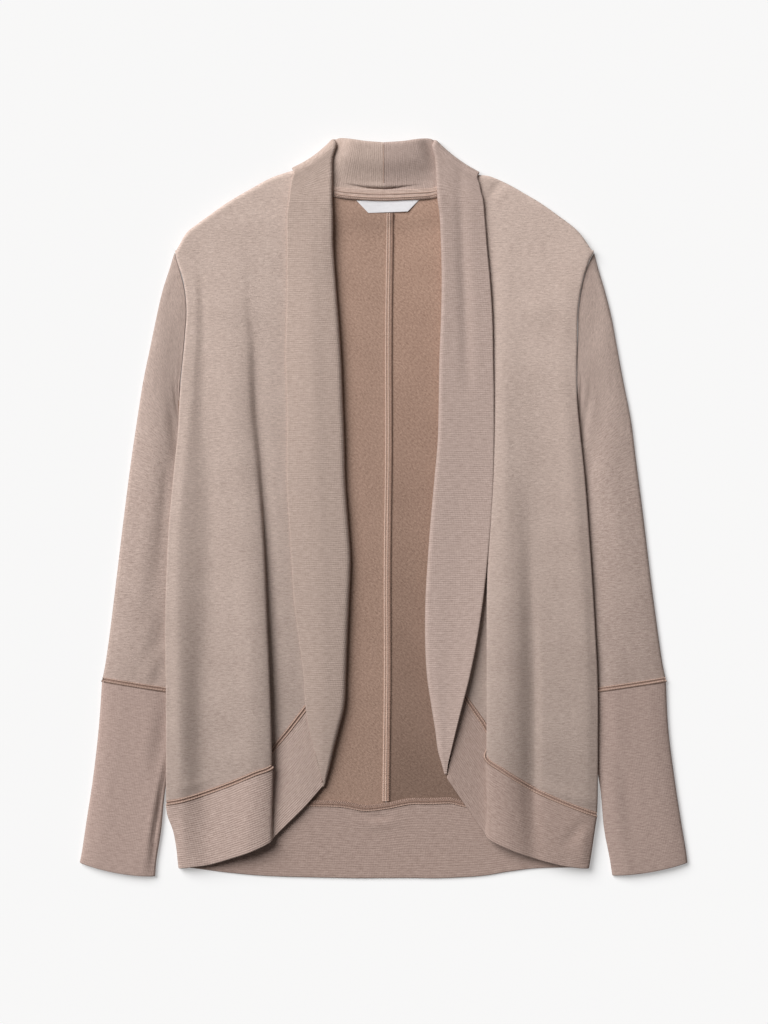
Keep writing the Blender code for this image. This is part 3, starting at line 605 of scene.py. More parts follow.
def tube_points(side, table, wall, armhole):
    """Rings of a flat tube: over the top, round the inner edge, back below, round the outer."""
    low = wall / 2
    end_top = low + wall + LAYER_GAP
    radius = (end_top - low) / 2
    tops = [np.array([table[k][0], table[k + "_y"][0]]) for k in ("out", "in")]
    out = []
    for i in range(len(table["out"])):
        a, b = (np.array([table[k][i], table[k + "_y"][i]]) for k in ("out", "in"))
        run = (b - a) / np.hypot(*(b - a))

        def place(t):
            bow = (0, -4 * t * (1 - t))
            if armhole:
                straight, y = tops[0] + (tops[1] - tops[0]) * t
                bow = (min(side_edge(side, y) + CLOTH / 2 + SEAM - straight, 0), 0)
            return a + (b - a) * t + np.array(bow) * table["bow"][i]

        def upper(t):
            under = table["under"][i]
            rise = min(ease(-0.02, 0.2, t), 1 - ease(under - 0.14, under, t))
            return end_top + (table["crown"][i] - end_top) * rise

        def turn(centre, start):
            return [(*(centre + run * radius * cos(angle)), low + radius + radius * sin(angle))
                    for angle in (start - pi / 3, start - 2 * pi / 3)]

        out.append([(*place(t), upper(t)) for t in ACROSS]
                   + turn(place(1.0) - run * (radius + wall / 2), pi / 2)
                   + [(*place(t), low) for t in ACROSS[::-1]]
                   + turn(place(0.0) + run * (radius + wall / 2), -pi / 2))
    return out


# Painted shade: the fade darkens each sleeve towards its cuff, the right more steeply.
SLEEVE_PAINTED_SHADE = {"left": -0.25, "right": -0.7}
sleeve_face_painted_shade = {
    side: cloth_finish(f"{side}_sleeve_knit_painted_shade", knit_effect, (219, 197, 186), (167, 145, 135),
                       KNIT_RELIEF, Contrast=3.0, Fade=fade)
    for side, fade in SLEEVE_PAINTED_SHADE.items()}
sleeve_inside = cloth_finish("sleeve_brushed_inside", nap_effect, (172, 144, 128),
                             (128, 102, 88), NAP_RELIEF, NAP_SHEEN)
for side in SIGN:
    grid = loft(tube_points(side, SLEEVE[side], CLOTH, True), side, 2.6, closed=True)
    upper = np.clip((grid[..., 2] - SLEEVE_TOP) / 1.2, 0, 1)
    sleeve = sewn(f"sleeve_tube_{side}", creased(grid, SLEEVE_CREASES[side], upper), CLOTH,
                  [sleeve_face_painted_shade[side], sleeve_inside], closed=True)
    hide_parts(f"sleeve_{side}")

# Cuffs: long doubled tubes of fine rib, greyer than the sleeves that they are sewn to. The
# inner edge turns under along its own seam and shows as a darker strip.
CUFF_RIB = 1.8
CUFF_TOP = 3.0
CUFF = {
    "left": columns("""
      out  out_y    in   in_y bow crown under
    281.5 -171.9 200.5 -185.1 0.0   5.6  0.74
    284.9 -220.0 207.1 -231.0 0.0   6.2  0.82
    290.6 -270.0 217.5 -280.0 0.0   6.2  0.94
    297.0 -312.0 222.0 -323.0 1.0   6.2  0.94
    301.5 -342.0 226.7 -353.0 2.5   6.0  0.94
    303.9 -354.5 227.9 -368.2 3.5   5.6  0.94"""),
    "right": columns("""
      out  out_y    in   in_y bow crown under
    282.5 -171.9 200.0 -184.5 0.0   5.6  0.77
    284.9 -220.0 206.5 -230.0 0.0   6.2  0.84
    291.1 -270.0 216.0 -278.0 0.0   6.2  0.94
    297.5 -312.0 220.0 -320.0 1.0   6.2  0.94
    302.5 -342.0 226.0 -352.0 2.5   6.0  0.94
    304.1 -354.5 228.3 -367.4 3.0   5.6  0.94"""),
}
CUFF_CREASES = {
    "left": [(-2.4, 1.5, (-211, -232), (-216.5, -256), (-222.5, -285), (-229, -325),
              (-232, -366)),
             (1.2, 3.0, (-216, -232), (-222, -262), (-228, -290), (-235, -330), (-238, -362))],
    "right": [(-0.8, 9, (232, -210), (244, -290), (252, -350))],
}
# Painted shade: the right cuff is coloured darker than the left.
CUFF_PAINTED_SHADE_TONES = {
    "left": ((194, 171, 161), (148, 126, 118)),
    "right": ((181, 160, 150), (137, 116, 109)),
}

# Fine rib: raised lines across the cloth's width, crossed by small wales of heathered yarn.
rib_effect, given = effect("fine rib", Pitch=2.0, Depth=0.5)
tree = rib_effect
threads = split_place(tree, 1.0, 1.0)
line = math(tree, "MULTIPLY_ADD", noise(tree, 0.03, 0.03), 2.2, threads["Y"])
line = wave(tree, math(tree, "DIVIDE", line, given["Pitch"]), 2)
wale = wave(tree, threads["X"], 2 / 1.7)
yarn = both(tree, noise(tree, 0.14, 0.6, 3.0, 0.7), 0.6, noise(tree, 0.7, 0.9, 2.0, 0.7), 0.4)
# Painted shade: the rib's grooves are coloured darker and its raised lines and wales lighter,
# following the relief.
shade = math(tree, "MULTIPLY_ADD", line, math(tree, "MULTIPLY", given["Depth"], 0.2),
             spread(tree, yarn, 2.4))
shade = math(tree, "MULTIPLY_ADD", wale, 0.05, shade)
high = both(tree, line, given["Depth"], wale, 0.12)
finish_effect(tree, given, shade, math(tree, "MULTIPLY_ADD", yarn, 1.1, high))

for side in SIGN:
    cuff_rib_painted_shade = cloth_finish(f"cuff_rib_painted_shade_{side}", rib_effect, *CUFF_PAINTED_SHADE_TONES[side], 0.3, Pitch=1.5,
                            Depth=0.16)
    grid = loft(tube_points(side, CUFF[side], CUFF_RIB, False), side, 2.4, closed=True)
    upper = np.clip((grid[..., 2] - CUFF_TOP) / 1.2, 0, 1)
    cuff = sewn(f"cuff_tube_{side}", creased(grid, CUFF_CREASES[side], upper), CUFF_RIB,
                [cuff_rib_painted_shade], closed=True)
    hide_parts(f"cuff_{side}")

# Collar: a doubled shawl band of fine rib whose lines run across it. It stands at the back
# neck, turns at the shoulder points, and rolls back down both fronts to the hem.
RIB = 2.4
COLLAR_AXIS = 5.6
# Sections straight across its front part, from the opening's seam (under the fall), in to the
# roll line, and back out over it to the free edge. Heights of the stand at the seam and at
# the roll, of the fall at the roll, half way and at its free edge.
COLLAR = {
    "left": columns("""
         y free seam roll stand under over fall edge
     308.0 94.5 87.5 52.0   7.6   7.2 10.6 10.4 10.2
     293.0 96.5 89.5 51.5   7.0   6.4  9.8 10.2  9.4
     263.0 96.5 89.5 51.3   5.6   5.2  8.9  9.9  7.8
     228.0 96.5 89.5 49.0   4.6   4.2  8.0  9.3  6.6
     188.0 97.0 90.0 45.9   3.9   3.8  8.9  9.7  6.0
     148.0 98.0 91.0 43.3   3.7   3.6  9.2  9.9  5.4
     108.0 96.5 89.5 41.8   3.6   3.6  9.2  9.9  5.4
      68.0 96.5 89.5 40.3   3.6   3.6  9.2  9.9  5.4
      28.0 96.5 89.5 39.3   3.6   3.6  9.2  9.9  5.4
     -12.0 94.5 87.5 36.5   3.6   3.6  9.2  9.9  5.4
     -52.0 92.0 85.0 34.0   3.6   3.6  9.2  9.9  5.4
     -92.0 89.5 82.5 35.5   3.6   3.6  9.2  9.9  5.4
    -132.0 84.5 77.5 37.2   3.6   3.6  9.2  9.9  5.4
    -167.0 80.0 73.0 38.5   3.7   3.7  9.2  9.9  6.0
    -197.0 78.0 70.9 40.0   4.0   3.9  9.1  9.7  6.4
    -222.0 74.0 66.9 46.0   4.2   4.0  8.9  9.3  6.6
    -242.0 69.0 63.7 51.0   4.2   4.1  8.5  8.7  6.8
    -257.0 65.0 61.3 54.4   4.2   4.2  7.9  7.8  6.8
    -266.0 62.6 59.8 56.9   4.2   4.2  7.0  6.8  6.6
    -271.0 61.3 59.7 58.2   4.2   4.3  6.3  6.2  6.2
    -275.0 60.3 59.6 59.2   4.2   4.3  5.7  5.6  5.6
    -278.5 61.6 61.1 60.7   4.2   4.3  5.4  5.3  5.3"""),
    "right": columns("""
       y  free  seam roll stand under over fall edge
     308  99.5  92.5 55.0   7.6   7.2 10.6 10.4 10.4
     293 101.0  94.0 57.0   7.0   6.4  9.8  9.9  9.7
     263 103.3  96.3 58.5   5.6   5.2  8.6  8.9  8.8
     228 106.5  99.5 59.2   4.6   4.2  7.8  8.0  8.2
     188 109.0 102.0 58.5   3.9   3.8  7.4  7.5  7.9
     148 109.8 102.8 56.9   3.7   3.6  7.2  7.4  7.8
     108 110.5 103.5 56.3   3.6   3.6  7.2  7.4  7.8
      68 110.5 103.5 55.3   3.6   3.6  7.2  7.4  8.0
      28 109.8 102.8 51.9   3.6   3.6  7.2  7.4  8.2
     -12 107.5 100.5 48.3   3.6   3.6  7.2  7.4  8.6
     -52 104.0  97.0 45.3   3.6   3.6  7.2  7.6  9.2
     -92  99.5  92.5 43.0   3.6   3.6  7.4  8.0 10.0
    -132  93.5  86.5 42.7   3.6   3.6  7.6  8.6 10.8
    -167  86.5  79.5 44.5   3.7   3.7  7.8  9.0 11.2
    -197  79.0  73.8 48.8   4.0   3.9  7.8  9.0 11.0
    -222  72.7  69.8 52.8   4.2   4.0  7.8  8.8 10.2
    -242  67.8  65.8 55.4   4.2   4.1  7.6  8.2  8.8
    -254  64.8  63.4 58.8   4.2   4.2  7.2  7.4  7.6
    -261  63.7  62.8 60.8   4.2   4.2  6.6  6.5  6.6
    -266  63.0  62.6 62.0   4.2   4.3  5.9  5.8  5.8"""),
}
# At the shoulder and round the back neck: free edge, seam and roll line, out and y. "turn" is
# how far the collar has turned about its axis, 180 behind the neck.
COLLAR_NECK = {
    "left": columns("""
    turn free free_y seam seam_y roll roll_y
       0 93.0  319.0 86.2  320.0 52.0  336.0
       0 91.7  327.5 84.0  329.0 51.5  350.0
       0 89.2  334.2 81.4  336.8 48.0  362.2
      30 88.8  335.0 81.2  337.4 47.6  363.2
      60 88.8  335.0 81.2  337.4 47.6  363.2
      90 88.8  335.0 81.2  337.4 47.9  363.9
     120 88.8  335.0 81.2  337.4 47.8  364.8
     150 88.8  335.0 81.2  337.4 47.6  366.0
     180 88.8  335.0 81.2  337.4 47.0  367.3
     180 82.5  327.0 72.5  329.5 44.8  368.2
     180 66.5  313.0 59.5  321.0 40.0  368.3
     180 43.5  305.0 42.5  315.0 31.5  367.0
     180 21.5  302.5 21.5  312.0 17.5  365.0
     180 -0.6  302.0 -0.6  311.2 -0.6  363.6"""),
    "right": columns("""
    turn free free_y seam seam_y roll roll_y
       0 97.5  315.0 91.0  318.0 53.5  334.0
       0 95.8  323.5 88.5  326.0 52.5  349.0
       0 93.6  330.0 86.0  333.0 49.6  361.2
      30 93.2  330.8 85.8  333.8 49.3  362.0
      60 93.2  330.8 85.8  333.8 49.3  362.0
      90 93.2  330.8 85.8  333.8 49.4  362.9
     120 93.2  330.8 85.8  333.8 49.3  364.0
     150 93.2  330.8 85.8  333.8 49.2  365.3
     180 93.2  330.8 85.8  333.8 48.9  366.7
     180 87.0  323.0 77.0  327.0 47.3  367.7
     180 69.5  311.0 62.5  319.5 42.5  368.1
     180 46.5  304.5 45.5  314.5 33.5  367.1
     180 22.5  302.2 22.5  312.0 19.5  365.0
     180 -0.6  302.0 -0.6  311.2 -0.6  363.6"""),
}
NECK_HEIGHTS = dict(stand=7.2, under=7.2, over=10.0, fall=10.0, edge=10.0)
# Behind the neck the roll stands this much higher than the seam, and the shoulder turn is
# hollowed by this much half way along. Towards the middle the stand folds over itself in a
# crease this deep.
STAND_RISE = 8.0
TURN_HOLLOW = 2.6
CREASE_DEPTH = 3.6
# Along the stand from the roll to the seam: share of the way, and share of the crease.
STAND_STEPS = ((1.0, 0), (0.97, 0), (0.885, 0), (0.865, 0.9), (0.83, 1), (0.805, 0.9),
               (0.8, -0.15), (0.78, -0.2), (0.74, 0), (0.6, 0), (0.3, 0), (0.0, 0))
# Which of these steps is the crease's lip, and how far it moves towards the seam.
CREASE_LIP = 6
LIP_SHIFT = 0.02
FALL_STEPS = (0.0, 0.07, 0.16, 0.28, 0.46, 0.72, 0.96, 1.0)
# Painted light and shade: the right collar is coloured lighter than the left, and the fade darkens
# each towards the hem, the left more steeply.
COLLAR_PAINTED_SHADE_TONES = {
    "left": ((183, 164, 154), (142, 124, 114)),
    "right": ((195, 174, 165), (151, 131, 122)),
}
COLLAR_PAINTED_SHADE = {"left": 0.55, "right": 0.1}
COLLAR_CREASES = {
    "left": [(0.5, 10, (-70, 300), (-72, 150), (-66, 0))],
    "right": [(-2.0, 6, (76, 350), (78, 280), (82, 190), (84, 110))],
}


def collar_seam(side, y):
    """The collar's seam line, as far up as the point of the shoulder."""
    table, neck = COLLAR[side], COLLAR_NECK[side]
    ys = [*table["y"][::-1], *neck["seam_y"][:3]]
    outs = [*table["seam"][::-1], *neck["seam"][:3]]
    corner = 3.0 * ease(neck["seam_y"][1] - 4, neck["seam_y"][2], y)
    return float(np.interp(y, ys, outs)) + corner


def collar_sections(side):
    """Turn, free edge, seam, roll and heights of each section, from the hem to the neck."""
    table, neck = COLLAR[side], COLLAR_NECK[side]
    lines = ("free", "seam", "roll")
    for i in reversed(range(len(table["y"]))):
        points = [np.array([table[k][i], table["y"][i]]) for k in lines]
        yield 0.0, *points, {k: table[k][i] for k in NECK_HEIGHTS}
    for i, turn in enumerate(neck["turn"]):
        points = [np.array([neck[k][i], neck[k + "_y"][i]]) for k in lines]
        yield turn, *points, NECK_HEIGHTS


def collar_points(side):
    """Sections round the band from the seam to the free edge, turned over at the shoulder."""
    neck = COLLAR_NECK[side]
    line = np.array([neck[k][3] - neck[f][3] for k, f in (("roll", "free"), ("roll_y", "free_y"))])
    outward = np.array([-line[1], line[0]]) / np.hypot(*line)
    outward *= np.sign(outward[0])
    out = []
    for turn, free, seam, roll, h in collar_sections(side):
        radius = (h["over"] - h["under"]) / 2
        to_seam = (seam - roll) / np.hypot(*(seam - roll)) * radius
        to_free = (free - roll) / np.hypot(*(free - roll)) * radius
        flat = []
        start = roll + to_seam
        near_middle = (1 - ease(9, 23, roll[0])) * (turn == 180)
        for step, (t, dip) in enumerate(STAND_STEPS):
            if step == CREASE_LIP:
                t += LIP_SHIFT * near_middle
            z = h["under"] + (h["stand"] - h["under"]) * t + CREASE_DEPTH * near_middle * dip
            flat.append((*(start + (seam - start) * t), z, 1 - t))
        middle = (h["over"] + h["under"]) / 2
        for k in (1, 2, 3):
            angle = -pi / 2 - k * pi / 4
            flat.append((*(roll + to_seam * (1 + cos(angle))), middle + radius * sin(angle), 1.0))
        start = roll + to_free
        bulge = h["over"] + (h["fall"] - h["over"]) * 0.75
        for t in FALL_STEPS:
            z = smooth((0, 0.16, 0.46, 1), (h["over"], bulge, h["fall"], h["edge"]), t)
            flat.append((*(start + (free - start) * t), float(z), 1 - t))
        section = []
        a = radians(turn)
        stand = STAND_RISE * (1 - ease(28, 47, roll[0]))
        hollow = TURN_HOLLOW * ease(320, 334, free[1]) * (1 - 0.2 * (turn == 180))
        for d, y, z, share in flat:
            rise = z - COLLAR_AXIS
            swing = outward * (rise * sin(a) - hollow * 4 * share * (1 - share))
            z = COLLAR_AXIS + rise * cos(a) + stand * ease(0.2, 0.85, share) * sin(a / 2) ** 2
            section.append((d + swing[0], y + swing[1], z))
        out.append(section)
    return out


for side in SIGN:
    collar_rib_painted_shade = cloth_finish(f"collar_rib_painted_shade_{side}", rib_effect, *COLLAR_PAINTED_SHADE_TONES[side], 0.25,
                              Pitch=2.1, Depth=0.26, Fade=COLLAR_PAINTED_SHADE[side])
    grid = creased(loft(collar_points(side), side, 2.0), COLLAR_CREASES[side])
    collar = sewn(f"collar_band_{side}", grid, RIB, [collar_rib_painted_shade])
    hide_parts(f"collar_{side}")

# Fronts: one panel of the smooth knit each, sewn to the collar under its fall. They keep soft
# lengthwise folds from hanging, deepest towards the hem, and bend down round the side.
FRONT_BEND = 1.6
FRONT_TOP_INSET = 3.1
# y at which the heights of the folds along the hem's lower edge are read.
HEM_END = -342
FRONT_ROWS = (0, 0.012, 0.05, 0.10, 0.155, 0.205, 0.26, 0.32, 0.38, 0.44, 0.5, 0.56, 0.62,
              0.68, 0.74, 0.80, 0.86, 0.92, 0.97, 1.0)
# Where each fold runs, out from the centre.
FOLDS = {
    "left": columns("""
       y recess  foot  wall crown slope valley round
     338  111.5 135.5 143.5 158.5 173.5  185.5 197.5
     308  111.5 135.5 143.5 158.5 173.5  185.5 197.5
     253  112.5 134.5 143.0 158.5 173.5  185.5 195.5
     208  113.5 133.5 141.5 157.5 172.5  180.5 187.5
     168  113.5 129.5 137.5 154.5 170.5  180.5 188.0
     108  112.5 128.0 135.0 150.5 167.5  180.5 192.0
      48  109.5 123.0 129.0 144.5 163.5  178.5 196.5
     -32  103.5 119.5 121.0 137.0 157.5  176.0 202.5
    -112   98.5 118.5 116.8 132.5 153.5  178.0 203.5
    -192   94.5 117.5 113.2 130.0 151.5  181.0 202.5
    -257   91.5 116.5 111.6 129.0 150.5  180.0 201.5
    -342   83.5 110.5 113.0 129.0 150.5  173.5 192.5"""),
    "right": columns("""
       y  foot  wall crown slope trough  rise plateau round
     338 103.5 109.5 118.5 128.5  140.5 154.5   172.5 196.5
     308 105.5 111.5 118.5 128.5  140.5 154.5   172.5 196.5
     253 107.0 112.5 119.5 128.5  140.5 154.5   172.5 190.5
     208 109.5 114.5 120.5 128.5  140.5 154.5   169.5 183.5
     168 108.5 112.5 120.5 128.5  140.5 154.5   168.5 182.0
     108 107.0 110.5 120.5 128.5  139.5 153.5   168.5 182.0
      48 106.0 108.5 120.5 130.0  142.0 153.5   172.5 187.5
     -32 106.0 105.5 120.0 132.0  145.5 155.5   176.5 193.5
    -112 107.0 103.9 119.5 133.0  147.5 157.5   180.5 199.5
    -192 108.5 103.5 119.5 133.0  149.5 159.5   182.5 202.5
    -257 108.5 103.2 119.5 133.0  149.5 159.5   182.5 202.5
    -342 105.5 106.5 121.5 133.5  147.0 159.5   180.5 196.5"""),
}
FOLD_HEIGHTS = {
    "left": columns("""
       y seam recess foot wall crown slope valley round edge
     338  7.3    7.2  7.0  7.0   7.0   7.0    7.0   7.0  7.0
     308  7.2    7.0  7.0  7.0   7.0   7.0    7.0   7.0  7.0
     253  5.0    6.0  6.4  6.8   7.0   7.0    7.0   7.4  7.2
     208  4.2    5.4  6.0  7.4   8.2   7.6    7.0   8.2  8.0
     168  3.8    5.0  5.6  8.6   9.4   8.0    7.0   8.6  8.0
     108  3.6    4.6  5.0  9.6  11.0   8.6    7.2   9.4  8.0
      48  3.6    4.3  4.6  9.5  11.2   8.9    7.1  10.2  8.0
     -32  3.6    4.2  4.5 10.8  12.9   9.9    6.6  10.8  8.0
    -112  3.6    4.2  4.4 12.3  14.9  10.7    6.1  11.6  8.0
    -192  3.8    4.1  4.3 13.3  16.0  11.2    5.5  12.3  8.0
    -257  4.2    4.2  4.4 13.4  16.0  11.1    5.7  12.0  8.0
    -342  5.0    7.2  8.2 13.0  15.0  12.4    9.4   8.8  6.8"""),
    "right": columns("""
       y seam foot wall crown slope trough rise plateau round edge
     338  7.3  7.0  7.0   7.0   7.0    7.0  7.0     7.0   7.0  7.0
     308  7.2  7.0  7.0   7.0   7.0    7.0  7.0     7.0   7.0  7.0
     253  5.0  5.4  6.0   6.6   6.8    6.8  7.0     7.0   7.4  7.2
     208  4.2  4.6  5.6   6.6   6.8    6.8  7.2     7.4   8.2  8.0
     168  3.8  4.4  5.6   6.8   7.0    6.8  7.4     7.8   8.6  8.0
     108  3.6  4.2  6.2   8.4   8.3    7.9  7.8     8.4   9.4  8.0
      48  3.6  4.2  7.0  10.0   9.5    8.7  8.2     9.0  10.0  8.0
     -32  3.6  4.2  8.4  12.4  11.7    8.5  8.4     9.6  10.4  8.0
    -112  3.6  4.2  9.8  14.2  13.2    7.8  8.7     9.8  10.4  8.0
    -192  3.9  4.2 10.8  15.2  13.8    6.9  8.8    10.0  10.4  8.0
    -257  4.2  4.4 10.8  15.0  13.4    6.8  8.8     9.8  10.2  8.0
    -342  4.8  6.4 10.8  13.8  12.8    9.6  9.8     9.4   8.4  6.8"""),
}
# Hem band of each front: its seam to the front, and its lower edge, for each fold.
HEM = {
    "left": {"seam": (72.8, -193, 60.2, -277.5), "recess": (93.5, -220, 80.5, -300.5),
             "foot": (116.5, -250.5, 109.5, -329), "wall": (111.6, -257.6, 113.8, -334),
             "crown": (128.5, -264.5, 133.5, -343.5), "slope": (150.5, -274, 151.5, -349.6),
             "valley": (178.5, -284.5, 173.5, -356), "round": (201.0, -291.2, 192.5, -358.8),
             "edge": (217.3, -294, 204.5, -360)},
    "right": {"seam": (77.3, -182.6, 63.3, -270.0), "foot": (108.5, -231, 101, -325),
              "wall": (103.2, -249, 107, -331.8), "crown": (119.5, -261.5, 121.5, -339),
              "slope": (133, -270.4, 135.5, -344.9), "trough": (149, -279.9, 149.5, -349.5),
              "rise": (159.5, -285, 162.5, -353.3), "plateau": (182.5, -294.8, 180.5, -357.6),
              "round": (202.5, -302.3, 196.5, -359.7), "edge": (213.5, -305.5, 205, -360)},
}
FRONT_CREASES = {
    "left": [(0.8, 14, (-200, 230), (-160, 200), (-120, 190)),
             (-0.4, 8, (-196, 190), (-186, 150), (-184, 100), (-190, 40)),
             (0.8, 4, (-214, -281), (-190, -277), (-166, -268))],
    "right": [(0.8, 14, (196, 230), (160, 200), (125, 190)),
              (-1.2, 5, (103, 306), (112, 320), (128, 330)),
              (-0.8, 9, (190, 190), (184, 150), (186, 90)),
              (1.5, 5, (158, -275), (178, -284), (196, -291), (212, -296))],
}


def fold_out(side, name, y):
    if name == "seam":
        return collar_seam(side, y) + BUTT + 0.9 * ease(260, 290, y)
    if name == "edge":
        return side_edge(side, y)
    return at(FOLDS[side], name, y)


def top_of(side, name):
    """y at which a fold line meets the shoulder."""
    if name == "edge":
        return SHOULDER[side][0][1]
    y = 300.0
    for _ in range(30):
        y = along(SHOULDER[side], fold_out(side, name, y))
    return y


def front_lines(side):
    """The folds, then the steps by which the side bends down: name, how far in, and drop."""
    names = list(FOLD_HEIGHTS[side])[1:]
    return [(name, 0.0, 0.0) for name in names[:-1]] + [
        (names[-1], FRONT_BEND * share, drop) for share, drop in BEND]


def front_points(side):
    """A front in rows from the shoulder down to its hem seam."""
    tops = {name: top_of(side, name) for name, *rest in front_lines(side)}
    rows = [(FRONT_TOP_INSET * share, drop, 0.0) for share, drop in BEND[:0:-1]]
    rows += [(FRONT_TOP_INSET, 0.0, v) for v in FRONT_ROWS]
    out = []
    for inset, top_drop, v in rows:
        line = []
        for name, pull, drop in front_lines(side):
            y0 = tops[name] - inset
            y = y0 + (HEM[side][name][1] - y0) * v
            d = fold_out(side, name, y) - pull
            if v == 1.0:
                d = HEM[side][name][0] - pull - (CLOTH / 2 if name == "edge" else 0)
            z = at(FOLD_HEIGHTS[side], name, y)
            fall = max(drop * (z - split(y)), top_drop * (z - SHOULDER_SPLIT))
            line.append((d, y, z - fall))
        out.append(line)
    return out


# Painted shade: each front has its own copy of the colours, and the fade darkens each towards the
# hem.
FRONT_PAINTED_SHADE_TONES = {
    "left": ((214, 194, 183), (165, 145, 135), 2.6, 0.75),
    "right": ((212, 192, 181), (163, 143, 133), 2.4, 0.8),
}
front_face_painted_shade = {
    side: cloth_finish(f"{side}_front_knit_painted_shade", knit_effect, light, dark, KNIT_RELIEF,
                       Contrast=contrast, Fade=fade)
    for side, (light, dark, contrast, fade) in FRONT_PAINTED_SHADE_TONES.items()}
for side in SIGN:
    grid = creased(loft(front_points(side), side, 2.4), FRONT_CREASES[side])
    front = sewn(f"front_panel_{side}", grid, CLOTH, [front_face_painted_shade[side], inside_painted_shade[side]],
                 plan=True)
    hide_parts(f"front_{side}")

# Front hem bands: doubled rib, cut to the curve of the fronts' corners, with the rib's lines
# running along the seam. The lower edge is a fold.
# Painted shade: the right hem band is coloured darker than the left.
HEM_PAINTED_SHADE_TONES = {
    "left": ((198, 177, 167), (148, 126, 117)),
    "right": ((186, 164, 154), (134, 112, 103)),
}
HEM_CREASES = {
    "left": [(-1.2, 6, (-212, -296), (-190, -318), (-172, -334)),
             (0.8, 5, (-204, -308), (-198, -352))],
    "right": [(-1.0, 6, (206, -308), (190, -326), (176, -340)),
              (0.8, 6, (200, -315), (198, -355))],
}


def hem_front_points(side):
    """A front's hem band in rows from its seam down, each square to the seam at its start."""
    seam = np.array(front_points(side)[-1])[:, :2]
    steps = front_lines(side)
    out = []
    for w in (0.0, 0.18, 0.42, 0.68, 0.92, 1.0):
        line = []
        for i, (name, pull, drop) in enumerate(steps):
            run = seam[min(i + 1, len(steps) - 1)] - seam[max(i - 1, 0)]
            down = np.array([run[1], -run[0]]) / np.hypot(*run)
            start = seam[i] - down * np.sign(down[1]) * BUTT
            x1, y1 = HEM[side][name][2:]
            end = np.array([x1 - pull - (CLOTH / 2 if name == "edge" else 0), y1])
            d, y = start + (end - start) * w
            if name == "edge":
                d = side_edge(side, y) - pull
            z0, z1 = (at(FOLD_HEIGHTS[side], name, y_at) for y_at in (seam[i][1], HEM_END))
            z = z0 + (z1 - z0) * w
            line.append((d, y, z - drop * (z - split(y))))
        out.append(line)
    return out


for side in SIGN:
    hem_rib = cloth_finish(f"hem_rib_{side}", rib_effect, *HEM_PAINTED_SHADE_TONES[side], 0.4, Pitch=2.3,
                           Depth=0.25)
    creases = FRONT_CREASES[side] + HEM_CREASES[side]
    hem = sewn(f"hem_band_{side}", creased(loft(hem_front_points(side), side, 2.0), creases),
               RIB, [hem_rib])
    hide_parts(f"hem_front_{side}")

# Back hem band: the same doubled rib, in one piece from side to side, lying on the floor. It is
# sewn to both halves of the back, and its lower edge is a fold.
BACK_HEM_EDGE = ((-204.5, -360), (-184.5, -358.9), (-150, -365), (-106.5, -368),
                 (-61.5, -369.2), (-11.7, -370), (16.5, -369.5), (49.5, -370),
                 (95.5, -367.8), (136.5, -361.7), (176.5, -358.5), (205, -360))
# Columns before the bend stay this far inside the side, and this much more for each one.
INSIDE_EDGE = (3.4, 1.5)
BACK_HEM_CREASES = [
    (-1.1, 2.4, (-26, -304), (-10, -310), (8, -308)),
    (0.7, 5, (-34, -310), (-10, -317), (20, -312)),
]


def hem_back_points():
    """The band in rows from its seam down, from the left to the right side of the picture."""
    halves = {side: [(SIGN[side] * d, y, side, i)
                     for i, (d, y, z) in enumerate(back_points(side)[-1])] for side in SIGN}
    middle = (BACK_SEAM[1], halves["right"][0][1], "right", 0)
    top = [*halves["left"][:0:-1], middle, *halves["right"][1:]]
    bends = len(halves["left"]) - len(BEND)
    out = []
    for w in (0.0, 0.2, 0.5, 0.85, 1.0):
        line = []
        for x, y0, side, i in top:
            y = y0 - SEAM + (along(BACK_HEM_EDGE, x) - y0) * w
            edge = side_edge(side, y)
            z = RIB / 2
            if i < bends:
                inside = INSIDE_EDGE[0] + INSIDE_EDGE[1] * (bends - 1 - i)
                x = SIGN[side] * min(abs(x), edge - inside)
            else:
                share, drop = BEND[i - bends]
                x = SIGN[side] * (edge - BEND_WIDTH * share)
                z += lift(y) * (OVER_SLEEVE - z)
                z += drop * (split(y) - 1.4 - z)
            line.append((x, y, z))
        out.append(line)
    return out


hem_rib = cloth_finish("hem_rib_back", rib_effect, (183, 161, 151), (138, 116, 107), 0.25,
                       Pitch=2.2, Depth=0.24)
grid = creased(loft(hem_back_points(), "right", 2.2), BACK_HEM_CREASES)
hem = sewn("hem_band_back", grid, RIB, [hem_rib])
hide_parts("hem_back")

# Neck tape and label: a peach twill tape sewn over the neck seam of the back, and a blank
# woven label with cut corners, held by the tape's lower edge.
TAPE = 0.8
TAPE_ROWS = ((6.8, 6.1), (3.6, 6.0), (-0.4, 5.9), (-3.8, 5.8))
LABEL = 0.5
LABEL_HEIGHT = 4.85
LABEL_CORNERS = ((-27, 307.0), (35.5, 307.6), (-15.1, 294.7), (24.2, 296.0))


def tape_line(x, offset, z, down=1.5):
    """A point over the neck seam; the tape's ends dip and pass under the collar."""
    y = along(NECK_SEAM, x) + offset - down * ease(24, 50, abs(x))
    return x, y, z - 0.7 * ease(42, 54, abs(x))


tape_twill = cloth_finish("neck_tape_twill", rib_effect, (222, 198, 185), (178, 151, 138), 0.4,
                          Pitch=1.3, Depth=0.3)
rows = [[tape_line(x, *row) for x in (-54, -47, -36, -24, -12, 0, 12, 24, 36, 48, 56)]
        for row in TAPE_ROWS]
tape = sewn("neck_tape_strip", loft(rows, "right", 1.2), TAPE, [tape_twill])
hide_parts("neck_tape")

